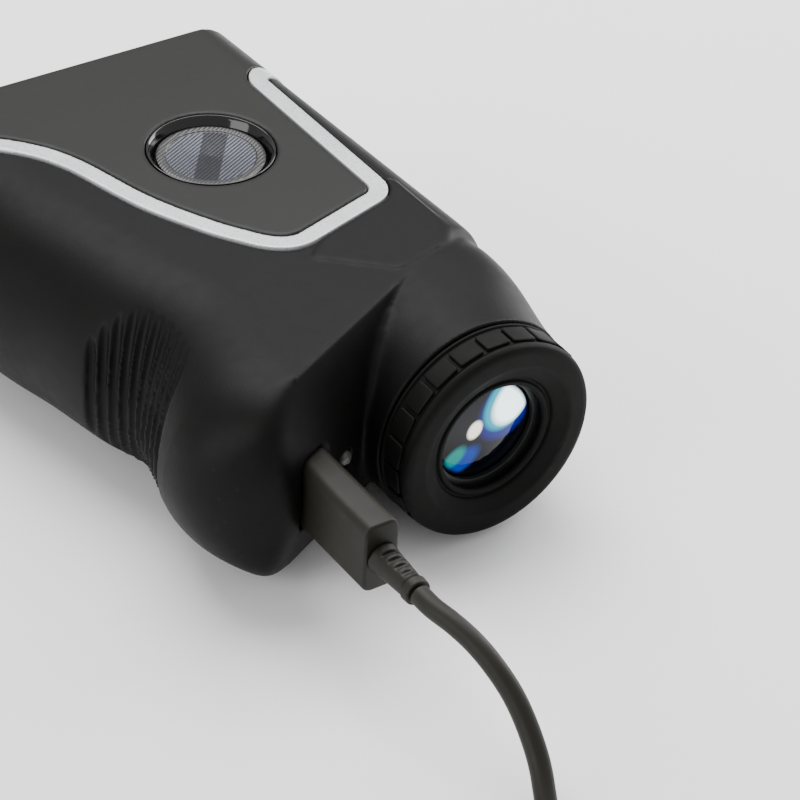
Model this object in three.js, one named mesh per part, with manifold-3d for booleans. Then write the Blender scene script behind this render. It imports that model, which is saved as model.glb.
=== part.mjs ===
// Laser rangefinder, lying on its right side with a USB-C charging lead plugged in.
//
// Millimetres, +Z up. The device is laid out in its optical frame: +Y looks forward along the
// eyepiece's axis, +X points to the top of the device (where the fire button is), +Z is the
// outward normal of the left side, and the origin is the centre of the eyecup's rear face.
// The last lines move everything so that the device stands on z = 0 with its box centred.

import * as THREE from "three";
import { mergeVertices } from "three/addons/utils/BufferGeometryUtils.js";
import Module from "manifold-3d";

const wasm = await Module();
wasm.setup();

// ---------------------------------------------------------------- driving dimensions

const GAP = 0.3; // between pieces that touch or turn
const FAR = 90; // reach of a cutting solid past the part

// Optics
const OBJECTIVE_LENS_R = 10.6;
const RECEIVER_LENS_R = 11.9;
const EYE_LENS_R = 9.1;
const FIELD_LENS_R = 10.6;
const BARREL_WALL = 1.0;
const OBJECTIVE_DROP = 5; // objective axis below the eyepiece axis, after the prism's offset
const LENS_PITCH = 27; // objective axis to receiver axis

// Housing
const WALL = 3.4;
const SIDE_ROOM = 1.25; // cavity side to receiver barrel
const TOP_EDGE_R = 7;
const TOP_X = 17.2; // height of the top face where it meets the neck
const TOP_FRONT_X = 14.34; // the top face falls towards the front
const TOP_START_Y = 22;
const FRONT_Y = 97.2; // front end of the housing
const REAR_Y = 19.3; // rear face on the eyepiece's axis
const REAR_SLOPE = 0.48; // the rear face leans forward towards the top
const REAR_CROWN_R = 35; // the rear face is rounded across the device
const HEEL_REAR_Y = -12;
const HEEL_START_Y = 14; // behind this the underside curves up into the rear face
const HEEL_SPAN = 12.7;
const WAIST_Y = 32.5;
const UNDERSIDE = [
  [-12, 16.7], [9, 16.7], [18, 16.6], [26, 14.8], [WAIST_Y, 13.6], [38, 14.6], [44.6, 16.7],
  [55.8, 19], [67.9, 22], [84, 23.8],
]; // y, and how far the lowest line is below the receiver's axis there
const FRONT_UNDERSIDE_DROP = 24.2;
const GROOVE_COUNT = 10;
const GROOVE_R = 0.8;

// Neck and eyepiece
const NECK_REAR_Y = 7.1;
const NECK_R = 17.6;
const NECK_BLEND_Y = 26; // the neck has the body's own section from here on
const NECK_END_Y = 34;
const TUBE_R = 15.2;
const TUBE_NOSE_R = 12.3;
const TUBE_BORE_R = 11.7;
const RING_R = 17.45;
const RING_LENGTH = 5;
const RING_NOTCHES = 22;
const EYECUP_R = 17.2;
const EYECUP_FLANGE = 1.5;
const DISH_R = 13.5;
const LIP_R = 10.4;
const LIP_DEPTH = 1.7;

// Front cover, trim and bezel
const COVER_STAND = 0.25; // cover and trim stand proud of the housing
const COVER_THICKNESS = 1.5;
const TRIM_WIDTH = 3.2;
const STATION = 6; // spacing of the housing's sections
const TRIM_SETBACK = 11.2; // front end of the housing to the trim over the top
const BEZEL_THICKNESS = 4.2;
const COVER_LIP_BACK = 0.6; // the cover's lip ends this far behind the bezel's face
const GASKET_THICKNESS = 0.8;
const SCREW_R = 1;
const SCREW_HEAD_R = 1.9;
const SCREW_LENGTH = 9;
const BOSS_R = 2.4;

// Buttons
const FIRE_SETBACK = 29.2; // front end of the housing to the fire button's centre
const FIRE_LENGTH = 27;
const FIRE_WIDTH = 21;
const FIRE_PROUD = 2.9;
const FIRE_TRAVEL = 0.8;
const FLANGE_EDGE = 1; // the flange that keeps a button in its hole
const MODE_X = -9.95;
const MODE_SETBACK = 28.7;
const MODE_R = 9;
const MODE_RING_WIDTH = 1.2;
const MODE_CAP_THICKNESS = 0.9;
const MODE_SUNK = 1.3; // below the side face
const MODE_TRAVEL = 0.5;
const MODE_STEM_R = 2.6;
const MODE_STEM_OFFSET = 4.55; // the stem sits under the cap's lower half

// Power
const CELL_R = 8;
const CELL_LENGTH = 34;
const PORT_X = -30.2;
const PORT_Y = 7.2; // floor of the port's recess
const PLUG_HEIGHT = 6;
const PLUG_WIDTH = 12.2;
const PLUG_LENGTH = 19.8;
const PLUG_CORNER_R = 1.5;
const LED_X = -22.3;
const LED_R = 1.3;

// Charging lead
const CORD_R = 1.65;
const RELIEF_LENGTH = 9.2;
const TURNS_ACROSS = 3.5;
const COIL_HEIGHT = 10;
const COIL_MEAN_R = 19.2;
const COIL_CENTRE = [-65.4, -72.5];
const TIE_THICKNESS = 0.7;
const TIE_WIDTH = 9;
const TIE_ANGLE = 130; // degrees round the coil
const FAR_PLUG = { width: 15.5, height: 8, length: 19, cornerR: 2.5 };
const FAR_SHELL = { width: 12, height: 4.5, length: 12.5 };

// ---------------------------------------------------------------- derived dimensions

const RECEIVER_R = RECEIVER_LENS_R + GAP + BARREL_WALL;
const OBJECTIVE_R = OBJECTIVE_LENS_R + GAP + BARREL_WALL;
const OBJECTIVE_X = -OBJECTIVE_DROP;
const RECEIVER_X = OBJECTIVE_X - LENS_PITCH;
const FRONT_UNDERSIDE_X = RECEIVER_X - FRONT_UNDERSIDE_DROP;
const TOP_SLOPE = (TOP_X - TOP_FRONT_X) / (FRONT_Y - TOP_START_Y);
const SKIN_HALF = RECEIVER_R + SIDE_ROOM + WALL;
const CAVITY_HALF = SKIN_HALF - WALL;
const SIDE_HALF = SKIN_HALF + COVER_STAND; // the outermost faces, which the device rests on
const POCKET_DEPTH = COVER_THICKNESS - COVER_STAND + GAP;
const BARREL_REAR_Y = FRONT_Y - 35.2;
const BULKHEAD_Y = BARREL_REAR_Y + 0.5;
const BULKHEAD_THICKNESS = 2.5;
const BEZEL_INSET = COVER_THICKNESS - COVER_STAND + GAP;
const BEZEL_LOW_Y = FRONT_Y + GASKET_THICKNESS + 2 * GAP;
const BEZEL_HIGH_Y = BEZEL_LOW_Y + BEZEL_THICKNESS;
const TABLE_Z = -SIDE_HALF;
const PLUG_END_Y = PORT_Y - GAP - PLUG_LENGTH;
const RELIEF_END_Y = PLUG_END_Y - GAP - RELIEF_LENGTH;

// ---------------------------------------------------------------- materials

const finish = (color, roughness, metalness = 0) =>
  new THREE.MeshStandardMaterial({ color, roughness, metalness });

const charcoal = finish(0x2b2b2a, 0.55);
const warmGrey = finish(0x363431, 0.5);
const silver = finish(0xc9cbcc, 0.25, 0.9);
const glossBlack = finish(0x0b0b0c, 0.08);
const rubber = finish(0x20201f, 0.85);
const hatchedMetal = finish(0x9a9c9f, 0.35, 0.8);
const lensGlass = finish(0x7fb4d8, 0.03);
const blackAnodised = finish(0x151515, 0.4, 0.6);
const greenBoard = finish(0x1d5a33, 0.5);
const steel = finish(0x9b9da0, 0.3, 0.95);
const lightPipe = finish(0xe6e4dc, 0.3);
const cellWrap = finish(0x2d5f9a, 0.4);
const plugGrey = finish(0x37352f, 0.6);
const blackNylon = finish(0x16171a, 0.6);

// ---------------------------------------------------------------- solids and shapes

function solid(geometry) {
  const bare = geometry.clone();
  bare.deleteAttribute("normal");
  bare.deleteAttribute("uv");
  const merged = mergeVertices(bare, 1e-4);
  return new wasm.Manifold(
    new wasm.Mesh({
      numProp: 3,
      vertProperties: merged.attributes.position.array,
      triVerts: new Uint32Array(merged.index.array),
    }),
  );
}

function geometryOf(made) {
  const mesh = made.getMesh();
  const geometry = new THREE.BufferGeometry();
  geometry.setAttribute("position", new THREE.BufferAttribute(mesh.vertProperties, 3));
  geometry.setIndex(new THREE.BufferAttribute(mesh.triVerts, 1));
  geometry.computeVertexNormals();
  return geometry;
}

const united = (solids) => solids.reduce((all, next) => all.add(next));
const without = (base, cutters) => base.subtract(united(cutters));

// A closed skin over rings of points that all have the same count.
function loft(rings) {
  const count = rings[0].length;
  const points = rings.flat();
  const faces = [];
  for (let ring = 0; ring + 1 < rings.length; ring++) {
    for (let i = 0; i < count; i++) {
      const a = ring * count + i;
      const b = ring * count + ((i + 1) % count);
      faces.push(a, b, a + count, b, b + count, a + count);
    }
  }
  const last = (rings.length - 1) * count;
  for (let i = 1; i + 1 < count; i++) {
    faces.push(0, i + 1, i);
    faces.push(last, last + i, last + i + 1);
  }
  const geometry = new THREE.BufferGeometry().setFromPoints(points);
  geometry.setIndex(faces);
  return geometry;
}

// A plate whose outline is drawn in x and y, from z = low to z = high.
function plateXY(shape, low, high, curveSegments = 8) {
  const options = { depth: high - low, bevelEnabled: false, curveSegments };
  return new THREE.ExtrudeGeometry(shape, options).translate(0, 0, low);
}

// A prism whose outline is drawn in z and x, from y = low to y = high.
function prismAlongY(shape, low, high, curveSegments = 6) {
  const axes = [new THREE.Vector3(0, 0, 1), new THREE.Vector3(1, 0, 0), new THREE.Vector3(0, 1, 0)];
  return plateXY(shape, low, high, curveSegments)
    .applyMatrix4(new THREE.Matrix4().makeBasis(...axes));
}

// A prism whose outline is drawn in y and z, from x = low to x = high.
function prismAlongX(shape, low, high, curveSegments = 6) {
  const axes = [new THREE.Vector3(0, 1, 0), new THREE.Vector3(0, 0, 1), new THREE.Vector3(1, 0, 0)];
  return plateXY(shape, low, high, curveSegments)
    .applyMatrix4(new THREE.Matrix4().makeBasis(...axes));
}

function roundedRect(width, height, radius, u = 0, v = 0) {
  const a = width / 2 - radius;
  const b = height / 2 - radius;
  const shape = new THREE.Shape();
  shape.moveTo(u + a + radius, v - b);
  shape.absarc(u + a, v + b, radius, 0, Math.PI / 2);
  shape.absarc(u - a, v + b, radius, Math.PI / 2, Math.PI);
  shape.absarc(u - a, v - b, radius, Math.PI, Math.PI * 1.5);
  shape.absarc(u + a, v - b, radius, Math.PI * 1.5, Math.PI * 2);
  return shape;
}

function disc(radius, u = 0, v = 0) {
  return new THREE.Shape().absarc(u, v, radius, 0, Math.PI * 2);
}

function polygon(radius, sides) {
  const corners = [];
  for (let corner = 0; corner < sides; corner++) {
    const turn = (2 * Math.PI * corner) / sides;
    corners.push(new THREE.Vector2(radius * Math.cos(turn), radius * Math.sin(turn)));
  }
  return new THREE.Shape(corners);
}

// A section carried along a smooth curve through the points.
function sweep(section, points, steps) {
  const extrudePath = new THREE.CatmullRomCurve3(points);
  return new THREE.ExtrudeGeometry(section, { extrudePath, steps });
}

function box(x, y, z) {
  const geometry = new THREE.BoxGeometry(x[1] - x[0], y[1] - y[0], z[1] - z[0]);
  return geometry.translate((x[0] + x[1]) / 2, (y[0] + y[1]) / 2, (z[0] + z[1]) / 2);
}

// A turned piece about the Y axis: the profile lists radius and y, anticlockwise.
function turned(profile, segments = 32, x = 0) {
  const points = profile.map(([r, y]) => new THREE.Vector2(r, y));
  return new THREE.LatheGeometry(points, segments).translate(x, 0, 0);
}

const tube = (outer, inner, low, high, segments = 32, x = 0) =>
  turned([[inner, low], [outer, low], [outer, high], [inner, high], [inner, low]], segments, x);

const rod = (radius, low, high, segments = 24, x = 0) =>
  turned([[0, low], [radius, low], [radius, high], [0, high]], segments, x);

// A lens with two domed faces that meet a cylindrical rim; a negative bulge is hollow.
function lens(radius, low, high, rearBulge, frontBulge, segments = 28, x = 0) {
  const steps = 3;
  const rear = [];
  const front = [];
  for (let i = 0; i <= steps; i++) {
    const r = (radius * i) / steps;
    const share = 1 - (r / radius) ** 2;
    rear.push([r, low - rearBulge * share]);
    front.unshift([r, high + frontBulge * share]);
  }
  return turned([...rear, ...front], segments, x);
}

// ---------------------------------------------------------------- housing form

const undersideCurve = new THREE.SplineCurve(
  [...UNDERSIDE, [FRONT_Y, FRONT_UNDERSIDE_DROP]]
    .map(([y, drop]) => new THREE.Vector2(y, RECEIVER_X - drop)),
);
const undersidePoints = undersideCurve.getPoints(90);

function undersideX(y) {
  const next = undersidePoints.findIndex((point) => point.x > y);
  if (next < 1) return next === 0 ? undersidePoints[0].y : FRONT_UNDERSIDE_X;
  const [a, b] = [undersidePoints[next - 1], undersidePoints[next]];
  return THREE.MathUtils.mapLinear(y, a.x, b.x, a.y, b.y);
}

const topX = (y) => TOP_X - (y - TOP_START_Y) * TOP_SLOPE;

// The section at y: flat sides, a top with rounded edges and a half-round underside. The points
// are in z and x, and their count depends on divisions alone.
function sectionOutline(y, grow, divisions) {
  const half = SKIN_HALF + grow;
  const top = topX(y) + grow;
  const centre = undersideX(y) - grow + half;
  const edge = Math.max(TOP_EDGE_R + grow, 1.5);
  const heel = THREE.MathUtils.clamp((HEEL_START_Y - y) / (HEEL_SPAN + grow), 0, 0.98);
  const depth = half * Math.sqrt(1 - heel * heel);
  const right = new THREE.EllipseCurve(half - edge, top - edge, edge, edge, 0, Math.PI / 2);
  const left = new THREE.EllipseCurve(-half + edge, top - edge, edge, edge, Math.PI / 2, Math.PI);
  const underside = new THREE.EllipseCurve(0, centre, half, depth, Math.PI, Math.PI * 2);
  return [
    ...right.getPoints(2 * divisions),
    ...left.getPoints(2 * divisions),
    ...underside.getPoints(4 * divisions),
  ];
}

const sectionRing = (y, grow, divisions) =>
  sectionOutline(y, grow, divisions).map((point) => new THREE.Vector3(point.y, y, point.x));

function sectionLoft(low, high, grow, divisions, spacing) {
  const count = Math.max(1, Math.round((high - low) / spacing));
  const rings = [];
  for (let i = 0; i <= count; i++) {
    rings.push(sectionRing(low + ((high - low) * i) / count, grow, divisions));
  }
  return solid(loft(rings));
}

// Everything forward of the rear face, which leans and is crowned across the device.
function rearCrown(inset) {
  const halfWidth = 30;
  const lean = Math.atan(REAR_SLOPE);
  const edgeAngle = Math.asin(halfWidth / REAR_CROWN_R);
  const shape = new THREE.Shape();
  shape.absarc(0, REAR_CROWN_R, REAR_CROWN_R, -Math.PI / 2 - edgeAngle, -Math.PI / 2 + edgeAngle);
  shape.lineTo(halfWidth, 2 * FAR);
  shape.lineTo(-halfWidth, 2 * FAR);
  const geometry = prismAlongX(shape, -FAR, FAR, 20);
  // drawn with the crown's rearmost line on y = 0: swap y and z, then lean and place it
  const swap = new THREE.Matrix4().makeBasis(
    new THREE.Vector3(1, 0, 0), new THREE.Vector3(0, 0, -1), new THREE.Vector3(0, 1, 0),
  );
  geometry.applyMatrix4(swap).translate(0, inset, 0).rotateZ(lean);
  return solid(geometry.translate(0, REAR_Y, 0));
}

// The neck: round behind the eyepiece ring, squarer where it runs into the body.
function neckForm() {
  const rings = [];
  const count = 8;
  const points = 48;
  for (let i = 0; i <= count; i++) {
    const t = i / count;
    const blend = THREE.MathUtils.smoothstep(t, 0, 1);
    const exponent = THREE.MathUtils.lerp(2, 4.2, blend);
    const y = THREE.MathUtils.lerp(NECK_REAR_Y, NECK_BLEND_Y, t);
    const sideways = THREE.MathUtils.lerp(NECK_R, SKIN_HALF - 0.05, blend);
    const upward = THREE.MathUtils.lerp(NECK_R, topX(NECK_BLEND_Y) - 0.05, blend);
    const ring = [];
    for (let k = 0; k < points; k++) {
      const angle = (2 * Math.PI * k) / points;
      const [c, s] = [Math.cos(angle), Math.sin(angle)];
      const power = c > 0 ? exponent : 2;
      const reach = (Math.abs(c / upward) ** power + Math.abs(s / sideways) ** power) ** (-1 / power);
      ring.push(new THREE.Vector3(reach * c, y, reach * s));
    }
    rings.push(ring.reverse());
  }
  const sink = 0.96; // the last ring dives under the body's surface
  rings.push(rings[count].map(({ x, z }) => new THREE.Vector3(sink * x, NECK_END_Y, sink * z)));
  return solid(loft(rings));
}

// ---------------------------------------------------------------- trim line

// Centreline of the trim on the side face, from under the device to over its top.
function trimLine() {
  const overTopY = FRONT_Y - TRIM_SETBACK;
  const path = new THREE.Path();
  path.moveTo(-80, FRONT_Y - 3.4);
  path.lineTo(-50, FRONT_Y - 4.6);
  path.splineThru([
    new THREE.Vector2(-43, FRONT_Y - 7.6),
    new THREE.Vector2(-36.6, FRONT_Y - 13),
    new THREE.Vector2(-31.6, FRONT_Y - 21),
    new THREE.Vector2(-27, 61),
    new THREE.Vector2(-21.6, 49.6),
    new THREE.Vector2(-17.4, 43.2),
  ]);
  path.quadraticCurveTo(-14.2, 38.7, -10, 39.6);
  path.lineTo(4.2, 43.5);
  path.quadraticCurveTo(7.8, 44.4, 7.8, 48);
  path.lineTo(7.8, overTopY - 5);
  path.quadraticCurveTo(7.8, overTopY, 13, overTopY);
  path.lineTo(60, overTopY);
  return path.getPoints(5);
}

// The line shifted sideways: a positive distance goes to the rear and outer side.
function shifted(line, distance) {
  return line.map((point, i) => {
    const before = line[Math.max(i - 1, 0)];
    const after = line[Math.min(i + 1, line.length - 1)];
    const along = after.clone().sub(before).normalize();
    return new THREE.Vector2(point.x + along.y * distance, point.y - along.x * distance);
  });
}

// The region forward of a line, closed ahead of the device.
function forwardOf(line) {
  const ahead = [new THREE.Vector2(60, 2 * FAR), new THREE.Vector2(-80, 2 * FAR)];
  return solid(plateXY(new THREE.Shape([...line, ...ahead]), -FAR, FAR));
}

const line = trimLine();
const coverRegion = forwardOf(shifted(line, -TRIM_WIDTH / 2 - GAP / 2));
const trimRegion = forwardOf(shifted(line, TRIM_WIDTH / 2))
  .subtract(forwardOf(shifted(line, -TRIM_WIDTH / 2 + GAP / 2)));
const pocketRegion = forwardOf(shifted(line, TRIM_WIDTH / 2 + GAP / 2 + 0.1));

const coverOuter = sectionLoft(20, BEZEL_HIGH_Y - COVER_LIP_BACK, COVER_STAND, 3, STATION);
const coverInner = sectionLoft(18, BEZEL_HIGH_Y + 3, COVER_STAND - COVER_THICKNESS, 3, STATION);
const pocketFloor = sectionLoft(16, FRONT_Y + 3, -POCKET_DEPTH, 3, STATION);
const coverLayer = coverOuter.subtract(coverInner);

// ---------------------------------------------------------------- assembly tree

const assembly = new THREE.Group();
const device = new THREE.Group();
const lead = new THREE.Group();
assembly.add(device, lead);

function add(parent, name, material, shape) {
  const geometry = shape.isBufferGeometry ? shape : geometryOf(shape);
  const mesh = new THREE.Mesh(geometry, material);
  mesh.name = name;
  parent.add(mesh);
  return mesh;
}

// ---------------------------------------------------------------- housing

const FIRE_Y = FRONT_Y - FIRE_SETBACK;
const MODE_Y = FRONT_Y - MODE_SETBACK;
const MODE_STEM_X = MODE_X - MODE_STEM_OFFSET;
const MODE_CAP_BOTTOM = SIDE_HALF - MODE_SUNK - MODE_CAP_THICKNESS;
const MODE_POCKET_Z = MODE_CAP_BOTTOM - MODE_TRAVEL - GAP;

// The fire button sits square to the sloping top: this frame has x out of the top face.
const topNormalAngle = Math.atan(TOP_SLOPE);
const onTop = (geometry) => geometry.rotateZ(topNormalAngle).translate(topX(FIRE_Y), FIRE_Y, 0);

const bezelScrews = [
  [9, 11.6], [9, -11.6],
  [OBJECTIVE_X - 12.8, CAVITY_HALF - 2.05], [OBJECTIVE_X - 12.8, -CAVITY_HALF + 2.05],
  [FRONT_UNDERSIDE_X + WALL + BOSS_R - 0.6, 0],
];

function thumbGrooves() {
  const rearmost = 21.5;
  const pitch = 2.23;
  const climb = 0.026; // each groove bends forward as it climbs the side
  const cutters = [];
  for (let i = 0; i < GROOVE_COUNT; i++) {
    const y0 = rearmost + i * pitch;
    const reach = 14.9 - 5.7 * Math.max(0, (i - 5) / 4) ** 2;
    const points = [];
    for (let k = -4; k <= 4; k++) {
      const angle = (Math.asin(reach / SKIN_HALF) * k) / 4;
      const z = SKIN_HALF * Math.sin(angle);
      const y = y0 + climb * z * z;
      const lift = 0.1 + 0.75 * (k / 4) ** 6; // runs out at its ends
      const radius = SKIN_HALF + lift;
      const centre = undersideX(y) + SKIN_HALF;
      points.push(new THREE.Vector3(centre - radius * Math.cos(angle), y, radius * Math.sin(angle)));
    }
    cutters.push(solid(sweep(polygon(GROOVE_R, 4), points, 8)));
  }
  return cutters;
}

function mainHousing() {
  const heel = sectionLoft(HEEL_REAR_Y, HEEL_START_Y, 0, 3, 2.2);
  const outside = heel.add(sectionLoft(HEEL_START_Y, FRONT_Y, 0, 3, STATION)).intersect(rearCrown(0));
  const badge = new THREE.Shape([
    new THREE.Vector2(-12.4, 34.6), new THREE.Vector2(-2.2, 25.4), new THREE.Vector2(9.4, 28.1),
    new THREE.Vector2(11, 31), new THREE.Vector2(11, 47), new THREE.Vector2(4, 47),
  ]);
  const pad = solid(plateXY(badge, SKIN_HALF - 1, SKIN_HALF + 0.2));
  const farPad = solid(plateXY(badge, -SKIN_HALF - 0.2, -SKIN_HALF + 1));
  const cavity = united([
    sectionLoft(-6, HEEL_START_Y, -WALL, 2, 3), sectionLoft(HEEL_START_Y, FRONT_Y + 5, -WALL, 2, 9),
  ]).intersect(rearCrown(WALL));
  const bosses = bezelScrews.map(([x, z]) =>
    solid(rod(BOSS_R, FRONT_Y - SCREW_LENGTH - 3, FRONT_Y, 16).translate(x, 0, z))
      .intersect(sectionLoft(FRONT_Y - SCREW_LENGTH - 4, FRONT_Y, -WALL + 1, 2, 9)));
  const screwHoles = bezelScrews.map(([x, z]) =>
    solid(rod(SCREW_R + 0.1, FRONT_Y - SCREW_LENGTH - 1, FRONT_Y + 1, 12).translate(x, 0, z)));
  const neckBore = solid(rod(TUBE_R + GAP, NECK_REAR_Y - 5, NECK_BLEND_Y + 6, 40));
  const [portWidth, portHeight] = [PLUG_WIDTH + 2 * GAP, PLUG_HEIGHT + 2 * GAP];
  const portShape = roundedRect(portWidth, portHeight, PLUG_CORNER_R + GAP, 0, PORT_X);
  const socketShape = roundedRect(11.2, 5.3, 2.2, 0, PORT_X);
  const fireHole = roundedRect(FIRE_LENGTH + 2 * GAP, FIRE_WIDTH + 2 * GAP, (FIRE_WIDTH + 2 * GAP) / 2);
  const modeRecess = disc(MODE_R + GAP + MODE_RING_WIDTH + GAP, MODE_X, MODE_Y);
  const shell = outside.add(pad).add(farPad).add(neckForm()).subtract(cavity).add(united(bosses));
  return without(shell, [
    ...screwHoles,
    neckBore,
    solid(prismAlongY(portShape, -FAR, PORT_Y, 4)),
    solid(prismAlongY(socketShape, -FAR, PORT_Y + 4, 3)),
    solid(rod(LED_R + GAP, -FAR, 18, 16, LED_X)),
    pocketRegion.subtract(pocketFloor),
    solid(plateXY(modeRecess, MODE_POCKET_Z, FAR, 16)),
    solid(plateXY(disc(MODE_STEM_R + GAP, MODE_STEM_X, MODE_Y), 0, FAR, 8)),
    solid(onTop(prismAlongX(fireHole, -5, 10, 6))),
    ...thumbGrooves(),
  ]);
}
add(device, "main_housing", charcoal, mainHousing());

// ---------------------------------------------------------------- front cover, trim, bezel

const modeHole = solid(plateXY(disc(MODE_R + 2 * GAP + MODE_RING_WIDTH, MODE_X, MODE_Y), 0, FAR, 16));
add(device, "front_cover", warmGrey, coverLayer.intersect(coverRegion).subtract(modeHole));

const trimBand = coverLayer.intersect(trimRegion);
for (const [name, side] of [["left_trim", 1], ["right_trim", -1]]) {
  const half = solid(box([-FAR, FAR], [-FAR, 2 * FAR], side > 0 ? [GAP / 2, FAR] : [-FAR, -GAP / 2]));
  add(device, name, silver, trimBand.intersect(half));
}

const headSeat = BEZEL_HIGH_Y - 1.6;

function frontBezel() {
  const rings = [
    sectionRing(FRONT_Y, -BEZEL_INSET, 3),
    sectionRing(FRONT_Y, -BEZEL_INSET, 3),
    sectionRing(FRONT_Y, -BEZEL_INSET - 1.6, 3),
  ];
  const heights = [BEZEL_LOW_Y, BEZEL_HIGH_Y - 1.6, BEZEL_HIGH_Y];
  rings.forEach((ring, i) => ring.forEach((point) => point.setY(heights[i])));
  return without(solid(loft(rings)), [
    solid(rod(OBJECTIVE_R + GAP, BEZEL_LOW_Y - 1, BEZEL_LOW_Y + 1, 28, OBJECTIVE_X)),
    solid(rod(OBJECTIVE_LENS_R, BEZEL_LOW_Y - 1, BEZEL_HIGH_Y + 1, 28, OBJECTIVE_X)),
    solid(rod(RECEIVER_R + GAP, BEZEL_LOW_Y - 1, BEZEL_LOW_Y + 1, 28, RECEIVER_X)),
    solid(rod(RECEIVER_LENS_R, BEZEL_LOW_Y - 1, BEZEL_HIGH_Y + 1, 28, RECEIVER_X)),
    ...bezelScrews.map(([x, z]) =>
      solid(rod(SCREW_R + GAP, BEZEL_LOW_Y - 1, BEZEL_HIGH_Y + 1, 8).translate(x, 0, z))),
    ...bezelScrews.map(([x, z]) =>
      solid(rod(SCREW_HEAD_R + GAP, headSeat - GAP, BEZEL_HIGH_Y + 1, 12).translate(x, 0, z))),
  ]);
}
add(device, "front_bezel", blackAnodised, frontBezel());

function bezelGasket() {
  const outline = (grow) => new THREE.Shape(sectionOutline(FRONT_Y, grow, 3));
  const low = FRONT_Y + GAP;
  const high = low + GASKET_THICKNESS;
  const whole = solid(prismAlongY(outline(-BEZEL_INSET - 0.3), low, high));
  return without(whole, [
    solid(prismAlongY(outline(-WALL), low - 1, high + 1)),
  ]);
}
add(device, "bezel_gasket", rubber, bezelGasket());

bezelScrews.forEach(([x, z], i) => {
  const shank = solid(rod(SCREW_R - 0.2, headSeat - SCREW_LENGTH, headSeat + 0.2, 10));
  const head = solid(rod(SCREW_HEAD_R, headSeat, headSeat + 1.2, 14));
  const socket = solid(rod(0.8, headSeat + 0.6, headSeat + 2, 6));
  const screw = geometryOf(shank.add(head).subtract(socket)).translate(x, 0, z);
  add(device, `bezel_screw_${i + 1}`, steel, screw);
});

// ---------------------------------------------------------------- mode button, left side

const ringLow = MODE_POCKET_Z + GAP;
const modeRingOuter = MODE_R + GAP + MODE_RING_WIDTH;
const modeRing = solid(turned([
  [MODE_R + GAP, ringLow], [modeRingOuter, ringLow], [modeRingOuter, SIDE_HALF - 0.05],
  [modeRingOuter - 0.4, SIDE_HALF - 0.05], [MODE_R + GAP, SIDE_HALF - 0.9], [MODE_R + GAP, ringLow],
], 32).rotateX(Math.PI / 2));
add(device, "mode_ring", glossBlack, geometryOf(modeRing).translate(MODE_X, MODE_Y, 0));

const modeTop = SIDE_HALF - MODE_SUNK;
const modeCap = solid(plateXY(disc(MODE_R, MODE_X, MODE_Y), MODE_CAP_BOTTOM, modeTop, 20));
const modeStemBottom = CAVITY_HALF - 0.15;
const modeStem = solid(plateXY(disc(MODE_STEM_R, MODE_STEM_X, MODE_Y), modeStemBottom, modeTop - 0.5, 8));
add(device, "mode_button", hatchedMetal, modeCap.add(modeStem));

const modeSwitchTop = modeStemBottom - MODE_TRAVEL - GAP;
const modeSwitchLow = modeSwitchTop - 1.3;
add(device, "mode_switch", steel,
  box([MODE_STEM_X - 2.6, MODE_STEM_X + 2.6], [MODE_Y - 2.6, MODE_Y + 2.6], [modeSwitchLow, modeSwitchTop]));
add(device, "mode_switch_board", greenBoard,
  box([MODE_STEM_X - 5, MODE_STEM_X + 3.5], [MODE_Y - 6, MODE_Y + 6],
    [modeSwitchLow - GAP - 0.5, modeSwitchLow - GAP]));

// ---------------------------------------------------------------- fire button, on top

const flangeTop = -WALL - GAP;
const flangeLow = flangeTop - 0.7;

function fireButton() {
  const outline = roundedRect(FIRE_LENGTH, FIRE_WIDTH, FIRE_WIDTH / 2);
  const crown = roundedRect(FIRE_LENGTH - 2, FIRE_WIDTH - 2, FIRE_WIDTH / 2 - 1);
  const [flangeLength, flangeWidth] = [FIRE_LENGTH + 2 * FLANGE_EDGE, FIRE_WIDTH + 2 * FLANGE_EDGE];
  const flange = roundedRect(flangeLength, flangeWidth, flangeWidth / 2);
  let button = solid(prismAlongX(outline, flangeLow + 0.2, FIRE_PROUD - 0.7))
    .add(solid(prismAlongX(crown, 0, FIRE_PROUD)))
    .add(solid(prismAlongX(flange, flangeLow, flangeTop)))
    .add(solid(prismAlongX(disc(2), flangeLow - 0.3, flangeTop)));
  const ribs = [];
  for (let i = -3; i <= 3; i++) {
    ribs.push(solid(box([FIRE_PROUD - 0.3, FIRE_PROUD + 1], [i * 2.4 - 0.5, i * 2.4 + 0.5], [-6, 6])));
  }
  button = without(button, ribs);
  return onTop(geometryOf(button));
}
add(device, "fire_button", warmGrey, fireButton());

const fireSwitchTop = flangeLow - 0.3 - FIRE_TRAVEL - GAP;
const fireSwitchLow = fireSwitchTop - 1.4;
add(device, "fire_switch", steel, onTop(box([fireSwitchLow, fireSwitchTop], [-2.6, 2.6], [-2.6, 2.6])));
add(device, "fire_switch_board", greenBoard,
  onTop(box([fireSwitchLow - GAP - 0.5, fireSwitchLow - GAP], [-8, 8], [-5, 5])));

// ---------------------------------------------------------------- eyepiece

const ringLowY = EYECUP_FLANGE + GAP;
const ringHighY = ringLowY + RING_LENGTH;
const cellRearY = LIP_DEPTH + 1.7;
const noseRearY = 2.7;

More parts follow.
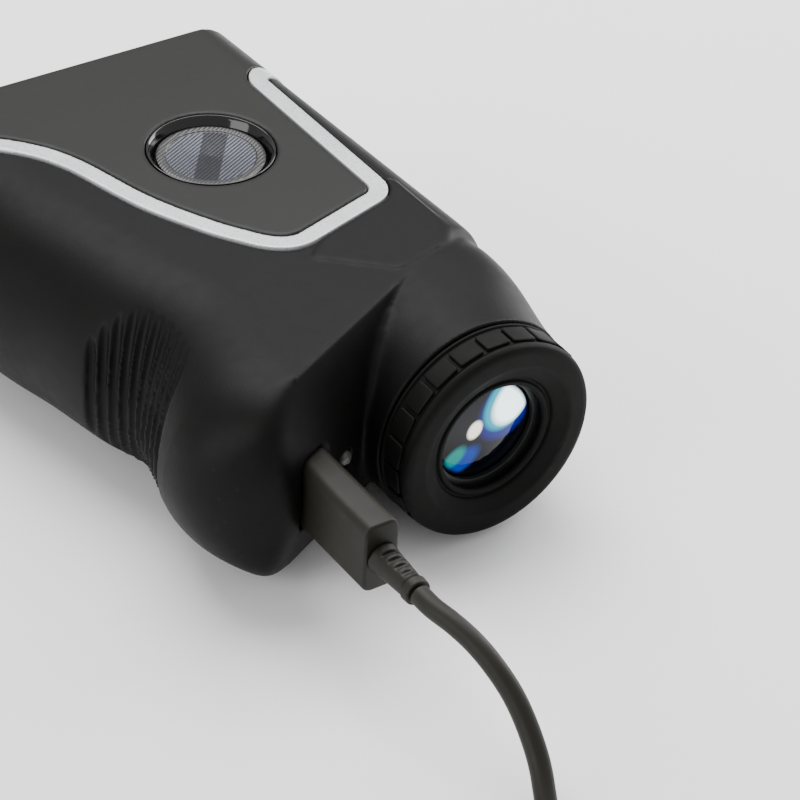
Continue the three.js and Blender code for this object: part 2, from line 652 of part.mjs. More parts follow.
function eyecup() {
  return turned([
    [EYE_LENS_R + 0.2, LIP_DEPTH + 0.6], [EYE_LENS_R + 0.2, LIP_DEPTH - 0.1], [LIP_R - 0.3, LIP_DEPTH - 0.4],
    [LIP_R, LIP_DEPTH], [LIP_R + 0.3, LIP_DEPTH - 0.4], [11.8, 0.6], [DISH_R - 0.7, 0.1], [DISH_R, 0],
    [EYECUP_R - 1.1, 0], [EYECUP_R - 0.35, 0.3], [EYECUP_R, 1], [EYECUP_R, EYECUP_FLANGE],
    [TUBE_NOSE_R, EYECUP_FLANGE], [TUBE_NOSE_R, LIP_DEPTH + 0.6],
    [EYE_LENS_R + 0.2, LIP_DEPTH + 0.6],
  ], 32);
}
add(device, "eyecup", rubber, eyecup());

function diopterRing() {
  const ring = solid(turned([
    [TUBE_NOSE_R + GAP, ringLowY], [RING_R, ringLowY], [RING_R, ringHighY - 0.5],
    [RING_R - 0.4, ringHighY], [TUBE_NOSE_R + GAP, ringHighY], [TUBE_NOSE_R + GAP, ringLowY],
  ], 66));
  const notches = [];
  for (let i = 0; i < RING_NOTCHES; i++) {
    const notch = box([RING_R - 0.5, RING_R + 1], [ringLowY - 1, ringHighY - 1], [-0.35, 0.35]);
    notches.push(solid(notch.rotateY((2 * Math.PI * i) / RING_NOTCHES)));
  }
  return without(ring, notches);
}
add(device, "diopter_ring", rubber, diopterRing());

const tubeShoulderY = NECK_REAR_Y + GAP;
const tubeFrontY = NECK_BLEND_Y + 3.5;
add(device, "eyepiece_tube", blackAnodised, turned([
  [TUBE_BORE_R, noseRearY], [TUBE_NOSE_R, noseRearY], [TUBE_NOSE_R, tubeShoulderY],
  [TUBE_R, tubeShoulderY], [TUBE_R, tubeFrontY], [FIELD_LENS_R - 1, tubeFrontY],
  [FIELD_LENS_R - 1, tubeFrontY - 1.2], [TUBE_BORE_R, tubeFrontY - 1.2], [TUBE_BORE_R, noseRearY],
], 40));

const eyeLensRimY = cellRearY + 1.2;
add(device, "ocular_cell", blackAnodised, turned([
  [EYE_LENS_R - 0.4, cellRearY], [TUBE_BORE_R - GAP, cellRearY], [TUBE_BORE_R - GAP, cellRearY + 12],
  [EYE_LENS_R - 0.8, cellRearY + 12], [EYE_LENS_R - 0.8, cellRearY + 5], [EYE_LENS_R + GAP, cellRearY + 5],
  [EYE_LENS_R + GAP, cellRearY + 0.9], [EYE_LENS_R - 0.4, cellRearY + 0.9], [EYE_LENS_R - 0.4, cellRearY],
], 36));
add(device, "eye_lens", lensGlass, lens(EYE_LENS_R, eyeLensRimY, eyeLensRimY + 2, 1.9, 0.8, 28));
const fieldLensFrontY = tubeFrontY - 1.2 - GAP;
add(device, "field_lens", lensGlass,
  lens(FIELD_LENS_R, fieldLensFrontY - 1.6, fieldLensFrontY - 0.4, 1.4, 0.4, 28));

// ---------------------------------------------------------------- optical train

const displayY = tubeFrontY + 1;
const prismLow = displayY + 3;
const prismHigh = prismLow + 21;
add(device, "display_panel", glossBlack, box([-7.5, 7.5], [displayY, displayY + 1.4], [-7, 7]));
const prismTop = 8;
const prismBottom = OBJECTIVE_X - 8.5;
const prismOutline = new THREE.Shape([
  new THREE.Vector2(prismTop - 3, prismLow), new THREE.Vector2(prismTop, prismLow + 4),
  new THREE.Vector2(prismTop, prismHigh), new THREE.Vector2(prismBottom + 4, prismHigh),
  new THREE.Vector2(prismBottom, prismHigh - 5), new THREE.Vector2(prismBottom, prismLow),
]);
const PRISM_HALF = 10;
const DIODE_R = 4.5;
const diodeY = (prismLow + prismHigh) / 2;
add(device, "prism_block", lensGlass, plateXY(prismOutline, -PRISM_HALF, PRISM_HALF));

function prismCarrier() {
  const skin = 1.4;
  const [low, high] = [prismBottom - GAP - skin, prismTop + 1];
  const inner = PRISM_HALF + GAP;
  const tray = solid(box([low, high], [prismLow, prismHigh], [-inner - skin, inner + skin]));
  return without(tray, [
    solid(box([prismBottom - GAP, high + 5], [prismLow - 5, prismHigh + 5], [-inner, inner])),
    solid(prismAlongX(disc(DIODE_R + 0.4, diodeY, 0), -FAR, 0, 8)),
  ]);
}
add(device, "prism_carrier", blackNylon, prismCarrier());

const diodeTop = prismBottom - GAP - 0.2;
const diode = solid(prismAlongX(disc(DIODE_R, diodeY, 0), diodeTop - 1.8, diodeTop, 6))
  .add(solid(prismAlongX(disc(3), diodeTop - 5, diodeTop - 1).translate(0, diodeY, 0)));
add(device, "laser_diode", steel, diode);

const lensSeatY = FRONT_Y - 1.2;
function barrel(radius, lensRadius, rearRadius, x) {
  const rearBore = rearRadius - BARREL_WALL;
  return turned([
    [rearBore, BARREL_REAR_Y], [rearRadius, BARREL_REAR_Y], [radius, FRONT_Y - 14],
    [radius, FRONT_Y + 1], [lensRadius + GAP, FRONT_Y + 1], [lensRadius + GAP, lensSeatY - 3],
    [lensRadius - 0.8, lensSeatY - 3], [lensRadius - 0.8, FRONT_Y - 14], [rearBore, BARREL_REAR_Y],
  ], 28, x);
}
add(device, "objective_barrel", blackAnodised,
  barrel(OBJECTIVE_R, OBJECTIVE_LENS_R, OBJECTIVE_R, OBJECTIVE_X));
add(device, "objective_lens", lensGlass,
  lens(OBJECTIVE_LENS_R, lensSeatY - 3 + GAP, lensSeatY - 0.6, -0.9, 1.2, 28, OBJECTIVE_X));
add(device, "objective_ring", blackAnodised,
  tube(OBJECTIVE_LENS_R, OBJECTIVE_LENS_R - 1, lensSeatY - 0.2, FRONT_Y + 1, 28, OBJECTIVE_X));

const receiverRearR = 7.4;
add(device, "receiver_barrel", blackAnodised,
  barrel(RECEIVER_R, RECEIVER_LENS_R, receiverRearR, RECEIVER_X));
add(device, "receiver_lens", lensGlass,
  lens(RECEIVER_LENS_R, lensSeatY - 3 + GAP, lensSeatY - 0.6, -0.6, 1.6, 28, RECEIVER_X));
add(device, "receiver_ring", blackAnodised,
  tube(RECEIVER_LENS_R, RECEIVER_LENS_R - 1, lensSeatY - 0.2, FRONT_Y + 1, 28, RECEIVER_X));

const sensorY = BARREL_REAR_Y - 2;
const sensorCan = solid(rod(4, sensorY - 0.2, sensorY + 3, 20, RECEIVER_X));
const sensorBoard = solid(box([RECEIVER_X - 7, RECEIVER_X + 7], [sensorY - 1.2, sensorY], [-8, 8]));
add(device, "receiver_sensor", greenBoard, sensorCan.add(sensorBoard));

function bulkhead() {
  const whole = sectionLoft(BULKHEAD_Y, BULKHEAD_Y + BULKHEAD_THICKNESS, -WALL - 2 * GAP, 3, 5);
  const keep = solid(box([-FAR, OBJECTIVE_X + OBJECTIVE_R - 2], [0, FAR], [-FAR, FAR]));
  return without(whole.intersect(keep), [
    solid(rod(OBJECTIVE_R + GAP, 0, FAR, 36, OBJECTIVE_X)),
    solid(rod(receiverRearR + 2.2, 0, FAR, 32, RECEIVER_X)),
    solid(box([MODE_STEM_X - 6, FAR], [0, FAR], [modeSwitchLow - 1.2, FAR])),
    solid(box([OBJECTIVE_X, FAR], [0, FAR], [0, FAR])),
  ]);
}
add(device, "bulkhead", blackNylon, bulkhead());

// ---------------------------------------------------------------- electronics and power

const boardTop = -PRISM_HALF - GAP - 1.4 - GAP;
add(device, "main_board", greenBoard, box([-30, -13], [24, BULKHEAD_Y - 1.5], [boardTop - 1.2, boardTop]));

const cradleR = CELL_R + GAP + 1;
const cellX = undersideX(WAIST_Y) + WALL + 0.5 + cradleR;
const cellLow = PORT_Y + 11.2;
add(device, "battery_cell", cellWrap, rod(CELL_R, cellLow, cellLow + CELL_LENGTH, 28, cellX));
const cradle = solid(tube(cradleR, CELL_R + GAP, cellLow, cellLow + CELL_LENGTH, 32, cellX))
  .intersect(solid(box([-FAR, cellX - 1], [0, FAR], [-FAR, FAR])));
add(device, "battery_cradle", blackNylon, cradle);

const PIN = { halfWidth: 4.15, halfHeight: 1.2, length: 6.4 }; // the plug's metal shell
function slotShape(grow) {
  const [halfWidth, halfHeight] = [PIN.halfWidth + grow, PIN.halfHeight + grow];
  return roundedRect(2 * halfWidth, 2 * halfHeight, halfHeight - 0.02, 0, PORT_X);
}
const socketLow = PORT_Y + 0.2;
const socketHigh = PORT_Y + 8;
const tongue = prismAlongY(roundedRect(6, 0.6, 0.2, 0, PORT_X), socketLow + 1, socketHigh, 2);
const socket = solid(prismAlongY(slotShape(0.6), socketLow, socketHigh, 3))
  .subtract(solid(prismAlongY(slotShape(GAP), socketLow - 1, socketHigh - 0.6, 3)))
  .add(solid(tongue));
add(device, "usb_socket", steel, socket);

const gasket = solid(prismAlongY(slotShape(1.15), PORT_Y + 0.2, PORT_Y + 1.2, 3))
  .subtract(solid(prismAlongY(slotShape(0.85), PORT_Y - 1, PORT_Y + 2, 3)));
add(device, "port_gasket", rubber, gasket);
const usbBoardX = PORT_X - PIN.halfHeight - 0.6 - GAP;
add(device, "usb_board", greenBoard, box([usbBoardX - 1, usbBoardX], [PORT_Y + 3.4, PORT_Y + 10], [-7, 7]));

const ledSurfaceY = REAR_Y + REAR_SLOPE * LED_X;
add(device, "charge_led", lightPipe, turned([
  [0, ledSurfaceY - 0.55], [0.7, ledSurfaceY - 0.35], [LED_R, ledSurfaceY + 0.5],
  [LED_R, ledSurfaceY + 6], [0, ledSurfaceY + 6],
], 16, LED_X));

const motorY = FRONT_Y - 22;
const motorX = undersideX(motorY) + WALL + 1.4;
add(device, "vibration_motor", steel, prismAlongX(disc(4.4, motorY, 0), motorX, motorX + 2.7, 8));

// ---------------------------------------------------------------- charging lead

const plugOutline = roundedRect(PLUG_WIDTH, PLUG_HEIGHT, PLUG_CORNER_R, 0, PORT_X);
add(lead, "usb_plug", plugGrey, prismAlongY(plugOutline, PLUG_END_Y, PORT_Y - GAP, 4));
const pinShell = solid(prismAlongY(slotShape(0), PORT_Y, PORT_Y + PIN.length, 3))
  .subtract(solid(prismAlongY(slotShape(-0.3), PORT_Y + 0.4, PORT_Y + PIN.length + 1, 3)));
add(lead, "usb_plug_shell", steel, pinShell);

const reliefEnd = PLUG_END_Y - GAP;
function strainRelief() {
  const body = solid(turned([
    [0, RELIEF_END_Y], [2.05, RELIEF_END_Y], [2.05, RELIEF_END_Y + 1.2], [1.8, RELIEF_END_Y + 1.5],
    [2.25, reliefEnd - 0.6], [2.25, reliefEnd], [0, reliefEnd],
  ], 16, PORT_X));
  const slots = [];
  for (let i = 0; i < 4; i++) {
    const y = reliefEnd - 1.6 - i * 1.6;
    slots.push(solid(box([PORT_X - 1, PORT_X + 1], [y - 0.4, y + 0.4], [1.5, 3])));
    slots.push(solid(box([PORT_X - 1, PORT_X + 1], [y - 0.4, y + 0.4], [-3, -1.5])));
  }
  return without(body, slots);
}
add(lead, "strain_relief", plugGrey, strainRelief());

// Route of the lead from the strain relief down to the table and along it to the coil.
const CORD_Z = TABLE_Z + CORD_R + 0.05;
const cordRoute = [
  [PORT_X, RELIEF_END_Y - GAP, 0], [-30.1, -26, -0.1], [-29.2, -30, -0.5], [-28.3, -34, -1.5],
  [-27.6, -38, -3.2], [-27.1, -42, -5.6], [-27.2, -46, -8.5], [-27.9, -50, -11.5],
  [-29.3, -53.6, -14], [-31, -57, -15.7], [-32.8, -60.4, CORD_Z], [-34.6, -63.8, CORD_Z],
  [-36.4, -67.2, CORD_Z], [-38.2, -70.5, CORD_Z],
];

const cordTube = (points, steps) =>
  sweep(polygon(CORD_R, 8), points.map((point) => new THREE.Vector3(...point)), steps);
add(lead, "usb_cable", plugGrey, cordTube(cordRoute, 14));

// The unseen length is a round coil, lifted by the tie that passes under it.
const coilLow = TABLE_Z + TIE_THICKNESS + GAP;
const coilHigh = coilLow + COIL_HEIGHT;
const coilHalf = TURNS_ACROSS * CORD_R;
const upright = (geometry) => geometry.rotateX(Math.PI / 2); // turned about Z instead of Y
const atCoil = (geometry) => geometry.translate(...COIL_CENTRE, coilLow);
const [coilIn, coilOut] = [COIL_MEAN_R - coilHalf, COIL_MEAN_R + coilHalf];
add(lead, "cable_coil", plugGrey, atCoil(upright(turned([
  [coilIn, 1], [coilIn + 1, 0], [coilOut - 1, 0], [coilOut, 1], [coilOut, COIL_HEIGHT - 2],
  [coilOut - 2, COIL_HEIGHT], [coilIn + 2, COIL_HEIGHT], [coilIn, COIL_HEIGHT - 2], [coilIn, 1],
], 32))));

function cableTie() {
  const hollow = (grow) => solid(upright(turned([
    [coilIn - grow, -grow], [coilOut + grow, -grow], [coilOut + grow, COIL_HEIGHT + grow],
    [coilIn - grow, COIL_HEIGHT + grow], [coilIn - grow, -grow],
  ], 96)));
  const loop = hollow(GAP + TIE_THICKNESS).subtract(hollow(GAP));
  const slice = solid(box([0, 2 * coilOut], [-TIE_WIDTH / 2, TIE_WIDTH / 2], [-FAR, FAR]));
  return atCoil(geometryOf(loop.intersect(slice)).rotateZ(THREE.MathUtils.degToRad(TIE_ANGLE)));
}
add(lead, "cable_tie", rubber, cableTie());

// The far plug lies along the coil's far side; its frame has +Y from the cable to the plug's tip.
const farPlugLow = coilHigh + GAP;
const farPlugZ = farPlugLow + FAR_PLUG.height / 2;
const farTurn = THREE.MathUtils.degToRad(58.9);
const farChord = 14; // the plug's line passes this far from the coil's centre
const upAxis = new THREE.Vector3(0, 0, 1);
const alongFarPlug = (geometry) =>
  geometry.translate(-farChord, 0, 0).rotateZ(farTurn).translate(...COIL_CENTRE, farPlugZ);
const farRear = -15;
const uprightRect = (width, height, radius) => roundedRect(height, width, radius);
const farFront = farRear + FAR_PLUG.length;
add(lead, "far_plug", plugGrey, alongFarPlug(prismAlongY(
  uprightRect(FAR_PLUG.width, FAR_PLUG.height, FAR_PLUG.cornerR), farRear, farFront, 4)));

function farShell() {
  const end = farFront + GAP + FAR_SHELL.length;
  const sleeve = uprightRect(FAR_SHELL.width, FAR_SHELL.height, 0.4);
  const outside = prismAlongY(sleeve, farFront + GAP, end, 2);
  const inside = prismAlongY(uprightRect(FAR_SHELL.width - 0.7, 2.3, 0.2), end - 9, end + 1, 2);
  return alongFarPlug(geometryOf(solid(outside).subtract(solid(inside.translate(0, 0, 0.8)))));
}
add(lead, "far_plug_shell", steel, farShell());

// From the coil's top, round its side and up into the far plug.
function tailRoute() {
  const points = [];
  const start = coilHigh + GAP + CORD_R;
  const steps = 7;
  for (let i = 0; i <= steps; i++) {
    const t = i / steps;
    const rise = THREE.MathUtils.smoothstep(t, 0, 1) * (farPlugZ - start);
    const angle = THREE.MathUtils.degToRad(THREE.MathUtils.lerp(345, 286, t));
    const radius = THREE.MathUtils.lerp(COIL_MEAN_R, 20.6, t);
    points.push([
      COIL_CENTRE[0] + radius * Math.cos(angle), COIL_CENTRE[1] + radius * Math.sin(angle), start + rise,
    ]);
  }
  const entry = new THREE.Vector3(-farChord, farRear - GAP, 0).applyAxisAngle(upAxis, farTurn);
  points.push([COIL_CENTRE[0] + entry.x, COIL_CENTRE[1] + entry.y, farPlugZ]);
  return points;
}
add(lead, "cable_tail", plugGrey, cordTube(tailRoute(), 8));

// ---------------------------------------------------------------- placement

// The device stands on z = 0 with its box centred on x = 0, y = 0; the lead goes with it.
const bounds = new THREE.Box3().setFromObject(device, true);
const centre = bounds.getCenter(new THREE.Vector3());
assembly.position.set(-centre.x, -centre.y, -bounds.min.z);

export default assembly;
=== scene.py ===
# %% [markdown]
# # Laser rangefinder, lying on its side on charge
#
# A pocket rangefinder is two moulded plastic shells around a small telescope, with a silver
# trim line between them, a turning rubber eyepiece and two buttons. It lies on its right side
# here with its charging lead in the port. The engineering model is already there, so this
# lesson only makes what the eye sees: fine moulded forms, rounded edges, and real finishes.
# The first cell brings that model in. Nothing in it is moved: every new piece is built
# where the model says.

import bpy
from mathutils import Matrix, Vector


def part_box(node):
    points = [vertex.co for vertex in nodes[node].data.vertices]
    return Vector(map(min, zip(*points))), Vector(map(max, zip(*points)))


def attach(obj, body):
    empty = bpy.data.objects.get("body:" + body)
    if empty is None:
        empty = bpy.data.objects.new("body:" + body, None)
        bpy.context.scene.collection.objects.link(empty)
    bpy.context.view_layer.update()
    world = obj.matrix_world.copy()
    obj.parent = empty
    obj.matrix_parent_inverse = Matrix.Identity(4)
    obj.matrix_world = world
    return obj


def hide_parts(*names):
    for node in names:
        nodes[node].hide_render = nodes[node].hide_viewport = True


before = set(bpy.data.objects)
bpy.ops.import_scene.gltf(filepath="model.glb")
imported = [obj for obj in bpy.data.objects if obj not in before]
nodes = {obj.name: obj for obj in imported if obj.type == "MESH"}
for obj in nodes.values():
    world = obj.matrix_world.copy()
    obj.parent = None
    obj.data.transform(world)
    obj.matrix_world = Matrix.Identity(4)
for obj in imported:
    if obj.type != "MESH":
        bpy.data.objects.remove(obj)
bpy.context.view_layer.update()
print("pieces in the engineering model:", len(nodes))

import math

import bmesh
import bpy
import numpy as np
from mathutils import Matrix, Vector

# %% [markdown]
# ## One ruler for the whole lesson
#
# Everything is drawn in millimetres from the centre of the eyecup's rear face, the point an
# optician would measure from. y runs forward along the eyepiece, x to the top of the device
# and z out of its left side, which is up here. The eyecup's own box gives the place of that
# point, so the drawing follows the model if the model moves.

# %% The eyepiece point, and millimetres to metres
MM = 0.001
eyecup_low, eyecup_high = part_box("eyecup")
EYE_POINT = np.array([
    (eyecup_low[0] + eyecup_high[0]) / 2,
    eyecup_low[1],
    (eyecup_low[2] + eyecup_high[2]) / 2,
])


def to_world(points):
    return np.asarray(points, dtype=float) * MM + EYE_POINT


def node_box(name):
    low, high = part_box(name)
    return (np.array(low) - EYE_POINT) / MM, (np.array(high) - EYE_POINT) / MM


print("eyepiece point in metres:", EYE_POINT.round(4))

# %% [markdown]
# ## The camera
#
# The device is seen from above and behind, over the corner between its top and its rear, with
# a long lens, so it keeps its true proportions. The camera is placed by its own three axes:
# right, up and back.

# %% A long lens over the rear corner
camera_data = bpy.data.cameras.new("camera")
camera_data.lens = 135
camera_data.sensor_width = 36
camera_data.clip_end = 20
camera = bpy.data.objects.new("camera", camera_data)
bpy.context.scene.collection.objects.link(camera)
RIGHT = Vector((0.82743766, -0.5591939, 0.0514694))
UP = Vector((0.30490385, 0.52434311, 0.79504587))
BACK = RIGHT.cross(UP).normalized()
camera.matrix_world = Matrix((
    (RIGHT.x, UP.x, BACK.x, 0),
    (RIGHT.y, UP.y, BACK.y, 0),
    (RIGHT.z, UP.z, BACK.z, 0),
    (0, 0, 0, 1),
))
camera.location = to_world((-225.55, -280.95, 280.14))
bpy.context.scene.camera = camera
print("camera at", tuple(round(v, 3) for v in camera.location))

# %% [markdown]
# ## Tools for making pieces
#
# Most pieces here are one of four kinds: turned on a lathe, pressed from an outline, swept
# along a line, or cut from a bigger form. Each kind gets one small function. `make_mesh`
# turns points into an object, and `finish_piece` makes it ride on its part of the model,
# stand in for the plain solids and take its finish.

# %% From points to a piece
def make_mesh(name, points, faces):
    mesh = bpy.data.meshes.new(name)
    mesh.from_pydata([tuple(p) for p in to_world(points)], [], [tuple(f) for f in faces])
    mesh.validate()
    mesh.update()
    piece = bpy.data.objects.new(name, mesh)
    bpy.context.scene.collection.objects.link(piece)
    return piece


def outward(piece):
    shape = bmesh.new()
    shape.from_mesh(piece.data)
    bmesh.ops.remove_doubles(shape, verts=shape.verts, dist=1e-7)
    bmesh.ops.recalc_face_normals(shape, faces=shape.faces)
    shape.to_mesh(piece.data)
    shape.free()
    return piece


def bake_modifiers(piece):
    bpy.context.view_layer.update()
    graph = bpy.context.evaluated_depsgraph_get()
    finished = bpy.data.meshes.new_from_object(piece.evaluated_get(graph))
    piece.modifiers.clear()
    piece.data = finished
    return piece


def soften(piece, angle=35):
    piece.data.shade_smooth()
    piece.data.set_sharp_from_angle(angle=math.radians(angle))
    return piece


def finish_piece(piece, body, material, stands_for=()):
    piece.data.materials.clear()
    piece.data.materials.append(material)
    if stands_for:
        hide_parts(*stands_for)
    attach(piece, body)
    return piece


# %% [markdown]
# A lathe profile is a list of radius and y. Real edges are never sharp: a mould or a tool
# always leaves a small radius that catches the light. `rounded` puts an arc on every corner
# of a profile before it is spun.

# %% Rounded profiles and the lathe
def rounded(profile, radius, steps=4, closed=True):
    points = [np.array(p, dtype=float) for p in profile]
    count = len(points)
    made = []
    for i, corner in enumerate(points):
        if not closed and i in (0, count - 1):
            made.append(corner)
            continue
        before = points[i - 1] - corner
        after = points[(i + 1) % count] - corner
        short = min(np.linalg.norm(before), np.linalg.norm(after))
        reach = min(radius, 0.45 * short)
        start = corner + before / np.linalg.norm(before) * reach
        end = corner + after / np.linalg.norm(after) * reach
        for k in range(steps + 1):
            t = k / steps
            made.append((1 - t) ** 2 * start + 2 * t * (1 - t) * corner + t * t * end)
    return made


def turned(name, profile, axis=(0, 0), segments=96, radius=0.15, closed=True):
    ring = rounded(profile, radius, closed=closed)
    turns = np.linspace(0, 2 * math.pi, segments, endpoint=False)
    points = [
        (axis[0] + r * math.cos(a), y, axis[1] + r * math.sin(a)) for a in turns for r, y in ring
    ]
    count = len(ring)
    faces = []
    for s in range(segments):
        here, there = s * count, ((s + 1) % segments) * count
        for k in range(count if closed else count - 1):
            n = (k + 1) % count
            faces.append((here + k, here + n, there + n, there + k))
    return soften(outward(make_mesh(name, points, faces)))


# %% [markdown]
# Pressed pieces grow from an outline. `outline_rect` draws a rectangle with round corners,
# and `pressed` stacks it into a block whose top and bottom edges are rounded too.

# %% Pressed blocks
def outline_rect(width, height, corner, steps=10):
    a, b = width / 2 - corner, height / 2 - corner
    points = []
    for cx, cy, start in ((a, b, 0), (-a, b, 90), (-a, -b, 180), (a, -b, 270)):
        for k in range(steps + 1):
            angle = math.radians(start + 90 * k / steps)
            points.append((cx + corner * math.cos(angle), cy + corner * math.sin(angle)))
    return np.array(points)


def skinned(name, rings):
    count = len(rings[0])
    points = np.concatenate(rings)
    faces = [
        (r * count + i, r * count + (i + 1) % count,
         (r + 1) * count + (i + 1) % count, (r + 1) * count + i)
        for r in range(len(rings) - 1) for i in range(count)
    ]
    faces.append(tuple(range(count)))
    last = (len(rings) - 1) * count
    faces.append(tuple(range(last, last + count)))
    return outward(make_mesh(name, points, faces))


def pressed(name, outline, low, high, edge, place, steps=5):
    """outline(inset) gives u, v points; place(u, v, level) gives x, y, z."""
    rings = []
    for side, level in ((-1, low), (1, high)):
        order = range(steps + 1) if side < 0 else range(steps, -1, -1)
        for k in order:
            turn = math.radians(90 * k / steps)
            inset = edge * (1 - math.sin(turn))
            offset = edge * (1 - math.cos(turn))
            rings.append([place(u, v, level - side * offset) for u, v in outline(inset)])
    return soften(skinned(name, rings))


print("piece makers ready")

# %% [markdown]
# Cutting is done with the Boolean modifier. The moulded shells are then rebuilt from tiny
# even cells and smoothed a little, which gives every edge the small radius of a moulding.

# %% Cutting and moulding
def combine(piece, other, operation):
    cut = piece.modifiers.new("cut", "BOOLEAN")
    cut.operation = operation
    cut.solver = "MANIFOLD"
    cut.object = other
    bake_modifiers(piece)
    bpy.data.objects.remove(other)
    return piece


def moulded(piece, cell, passes, factor=0.5):
    skin = piece.modifiers.new("skin", "REMESH")
    skin.mode = "VOXEL"
    skin.voxel_size = cell * MM
    skin.adaptivity = 0
    even = piece.modifiers.new("even", "SMOOTH")
    even.factor = factor
    even.iterations = passes
    bake_modifiers(piece)
    piece.data.shade_smooth()
    return piece


# %% [markdown]
# ## The charging lead
#
# The lead is a soft 3.3 mm cable, about a metre long. It leaves the plug straight, sags to the
# table in one easy bow, and what is left of it is wound into a neat coil with a strap, as
# anyone puts a lead away. A cable keeps its length, so it is drawn as one smooth line: the
# bow through listed points, and the coil as three flat spirals that lie on each other a cable apart.

# %% The free bow from the plug to the table
CORD_R = 1.65
table_z = node_box("main_housing")[0][2]
table_z = min(table_z, node_box("front_cover")[0][2])
plug_low, plug_high = node_box("usb_plug")
relief_low, relief_high = node_box("strain_relief")
port_x = (plug_low[0] + plug_high[0]) / 2
cord_z = table_z + CORD_R + 0.05
bow = [
    (port_x, relief_low[1] - 0.3, 0), (-30.1, -26, -0.1), (-29.2, -30, -0.5), (-28.3, -34, -1.5),
    (-27.6, -38, -3.2), (-27.1, -42, -5.6), (-27.2, -46, -8.5), (-27.9, -50, -11.5),
    (-29.3, -53.6, -14), (-31, -57, -15.7), (-32.8, -60.4, cord_z), (-34.6, -63.8, cord_z),
    (-36.4, -67.2, cord_z), (-38.2, -70.5, cord_z), (-40.1, -74.2, cord_z),
    (-42.3, -78.5, cord_z + 0.4),
]
print("the bow starts at", bow[0], "and drops", round(bow[0][2] - cord_z, 1), "mm")

# %% Three flat spirals, then up into the far plug
PITCH = 2 * CORD_R
ENTRY_ANGLE = -26.8
SPIRAL_TURNS = 2.5
RISE_ANGLE = 45
LAST_ANGLE = 583
coil_low, coil_high = node_box("cable_coil")
coil_x, coil_y = (coil_low[:2] + coil_high[:2]) / 2
coil_outer = (coil_high[0] - coil_low[0]) / 2 - CORD_R
coil_inner = coil_outer - PITCH * SPIRAL_TURNS


def coil_points(step=15):
    points = []
    turned_by = 0
    for layer in range(3):
        inward = layer % 2 == 0
        span = LAST_ANGLE if layer == 2 else 360 * SPIRAL_TURNS
        count = round(span / step)
        for k in range(0 if layer else 1, count + 1):
            done = span * k / count
            change = PITCH * done / 360
            radius = coil_outer - change if inward else coil_inner + change
            points.append((radius, turned_by + done, layer))
        turned_by += span
        if layer < 2:
            for t in (0.25, 0.5, 0.75):
                eased = t * t * (3 - 2 * t)
                points.append((points[-1][0], turned_by + RISE_ANGLE * t, layer + eased))
            turned_by += RISE_ANGLE
    return points


def coil_spot(radius, turned_by, layer):
    angle = math.radians(ENTRY_ANGLE - turned_by)
    return (coil_x + radius * math.cos(angle), coil_y + radius * math.sin(angle),
            coil_low[2] + CORD_R + layer * PITCH)


coil_line = [coil_spot(*p) for p in coil_points()]
far_low, far_high = node_box("far_plug")
far_centre = (far_low + far_high) / 2
FAR_TURN = math.radians(58.9)
far_along = np.array([-math.sin(FAR_TURN), math.cos(FAR_TURN), 0])
FAR_LENGTH = 19
far_entry = far_centre - far_along * (FAR_LENGTH / 2 + 0.1)
leave = np.array(coil_line[-1])
heading = leave - np.array(coil_line[-2])
heading /= np.linalg.norm(heading)
HANDLE = 14.5
tail = []
for k in range(1, 13):
    t = k / 12
    a, b = leave + heading * HANDLE, far_entry - far_along * HANDLE
    spot = ((1 - t) ** 3 * leave + 3 * t * (1 - t) ** 2 * a
            + 3 * t * t * (1 - t) * b + t ** 3 * far_entry)
    lift = min(1, t / 0.75)
    spot[2] = leave[2] + (far_entry[2] - leave[2]) * lift * lift * (3 - 2 * lift)
    tail.append(tuple(spot))

cord_line = bow + coil_line + tail


def smooth_line(points, per_span=4):
    points = np.array(points, dtype=float)
    ends = np.vstack([2 * points[0] - points[1], points, 2 * points[-1] - points[-2]])
    made = []
    for i in range(1, len(ends) - 2):
        p0, p1, p2, p3 = ends[i - 1], ends[i], ends[i + 1], ends[i + 2]
        for k in range(per_span):
            t = k / per_span
            made.append(0.5 * (2 * p1 + (p2 - p0) * t + (2 * p0 - 5 * p1 + 4 * p2 - p3) * t * t
                               + (3 * p1 - p0 - 3 * p2 + p3) * t ** 3))
    made.append(points[-1])
    return np.array(made)


fine_line = smooth_line(cord_line)

# %% [markdown]
# ## Finishes
#
# Every finish starts from the same few facts: its colour, how rough it is, and the texture
# the mould or the tool left. Moulded plastic shows three things at once: a fine spark-eroded
# grain, patches where handling has polished it, and edges a touch lighter from wear. The
# grain is a bump from fine noise, the patches are slow noise on the roughness, and the wear
# follows the mesh's own edges.

# %% One maker for moulded finishes
def new_finish(name, roughness=0.5, metallic=0.0):
    material = bpy.data.materials.new(name)
    material.use_nodes = True
    shader = material.node_tree.nodes["Principled BSDF"]
    shader.inputs["Roughness"].default_value = roughness
    shader.inputs["Metallic"].default_value = metallic
    return material, material.node_tree, shader


def noise(tree, scale, detail=3.0, stretch=None):
    place = tree.nodes.new("ShaderNodeTexCoord")
    source = place.outputs["Object"]
    if stretch:
        mapping = tree.nodes.new("ShaderNodeMapping")
        mapping.inputs["Scale"].default_value = stretch
        tree.links.new(source, mapping.inputs["Vector"])
        source = mapping.outputs["Vector"]
    texture = tree.nodes.new("ShaderNodeTexNoise")
    texture.inputs["Scale"].default_value = scale
    texture.inputs["Detail"].default_value = detail
    tree.links.new(source, texture.inputs["Vector"])
    return texture.outputs["Fac"]


def ranged(tree, value, low, high, start=0.3, end=0.7):
    band = tree.nodes.new("ShaderNodeMapRange")
    band.inputs["From Min"].default_value = start
    band.inputs["From Max"].default_value = end
    band.inputs["To Min"].default_value = low
    band.inputs["To Max"].default_value = high
    tree.links.new(value, band.inputs["Value"])
    return band.outputs["Result"]


